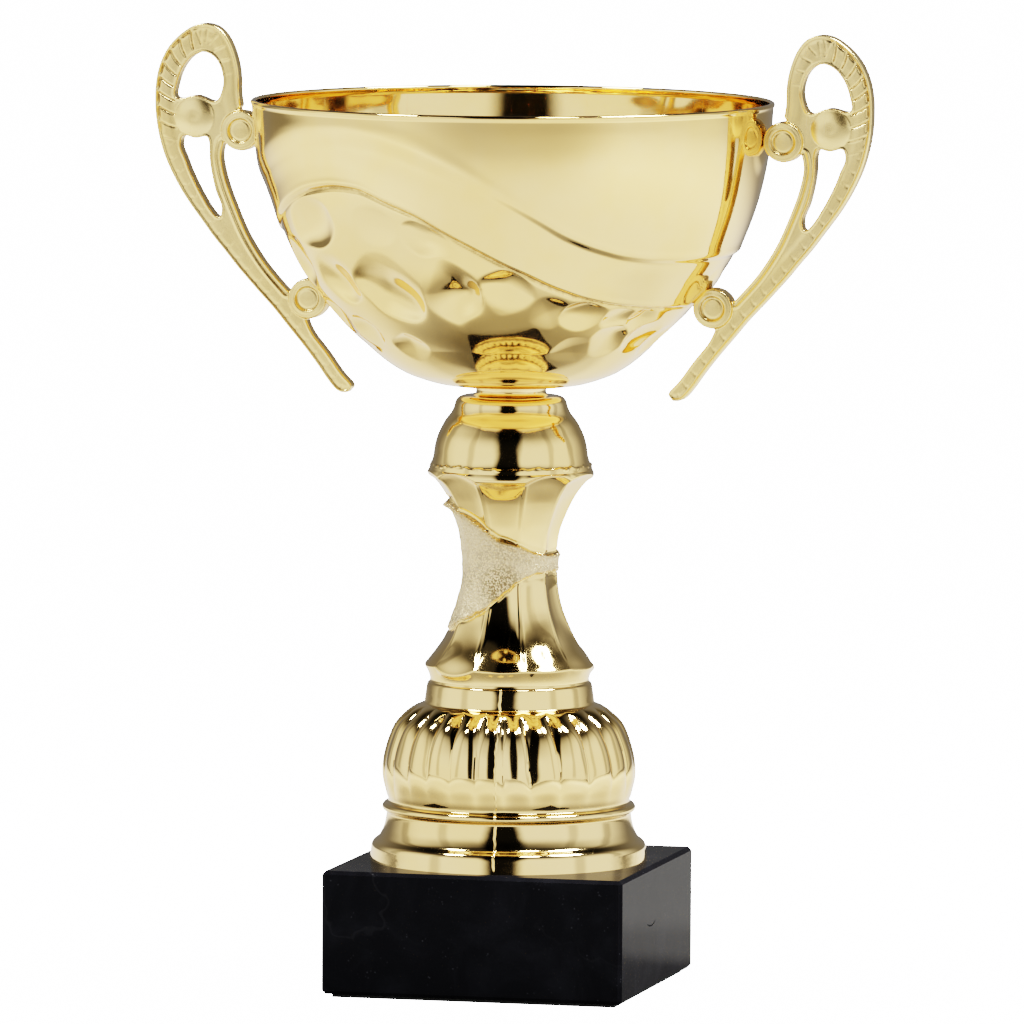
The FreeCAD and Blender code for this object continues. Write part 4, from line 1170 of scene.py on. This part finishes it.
panels = w.math("MULTIPLY", w.math("MULTIPLY", seam(-64, 8, 0.62), seam(62, 8, 0.62)), w.math("MULTIPLY", seam(-112, 9, 0.5), seam(104, 9, 0.5)))
above_s = w.remap(el, -0.01, 0.05, 0.0, 1.0, True)
ceiling = w.math("MULTIPLY", ceiling, w.mixf(above_s, 1.0, panels))
half = w.math("ADD", 0.168, w.math("MULTIPLY", w.math("MAXIMUM", el, 0.0), 0.22))
off = w.math("SUBTRACT", w.math("ABSOLUTE", w.math("ADD", phi_w, math.radians(5.7))), half)
bright = w.remap(off, -0.035, 0.155, 0.004, 1.0, True)
above = w.remap(el, 0.0, 0.03, 0.0, 1.0, True)
slit_f = w.mixf(above, 1.0, bright)
rear_w = w.remap(w.math("ABSOLUTE", phi_w), math.radians(88), math.radians(145), 1.0, 0.12, True)
lum = w.math("MULTIPLY", w.math("MULTIPLY", ceiling, slit_f), rear_w)
lp = w.node("ShaderNodeLightPath")
strength = w.mixf(lp.outputs["Is Camera Ray"], lum, 15.0)
bg.inputs[0].default_value = (1.0, 0.99, 0.965, 1)
w.put(bg.inputs[1], strength)
w.put(wout.inputs[0], bg.outputs[0])


def lamp(name, az, elev, dist, radius, power):
    a, e = math.radians(az + CAM_AZ), math.radians(elev)
    d = Vector((math.sin(a) * math.cos(e), -math.cos(a) * math.cos(e), math.sin(e)))
    ld = bpy.data.lights.new(name, "AREA")
    ld.shape = "DISK"
    ld.size = 2 * radius
    ld.energy = power
    ld.color = (1.0, 0.985, 0.95)
    ob = bpy.data.objects.new(name, ld)
    bpy.context.scene.collection.objects.link(ob)
    ob.location = Vector((0, 0, 0.12)) + d * dist
    ob.rotation_euler = (-d).to_track_quat("-Z", "Y").to_euler()
    ob.visible_camera = False
    return ob


lamp("lamp_right", 87, 60, 1.5, 0.25, 54.0)
lamp("lamp_left", -80, 60, 1.5, 0.16, 20.0)
lamp("lamp_front", 35, 68, 1.5, 0.15, 14.0)

# =================================================================== camera
e, a = math.radians(5.35), math.radians(CAM_AZ)
back = Vector((math.sin(a) * math.cos(e), -math.cos(a) * math.cos(e), math.sin(e)))
right_v = Vector((math.cos(a), math.sin(a), 0))
target = Vector((0, 0, 0.1285)) + right_v * 0.00041
cam_data = bpy.data.cameras.new("camera")
cam_data.sensor_width = 36.0
cam_data.lens = 446.7
cam_data.clip_start = 0.1
cam_data.clip_end = 200.0
cam = bpy.data.objects.new("camera", cam_data)
bpy.context.scene.collection.objects.link(cam)
up = Vector((0, 0, 1))
zc = back.normalized()
xc = up.cross(zc).normalized()
yc = zc.cross(xc)
rot = Matrix((xc, yc, zc)).transposed()
roll = Matrix.Rotation(math.radians(0.323), 3, "Z")
cam.matrix_world = Matrix.Translation(target + back * 3.430) @ (rot @ roll).to_4x4()
bpy.context.scene.camera = cam

sc = bpy.context.scene
sc.view_settings.view_transform = "Filmic"
sc.view_settings.look = "Medium High Contrast"
sc.view_settings.exposure = 0.0
sc.cycles.use_denoising = True
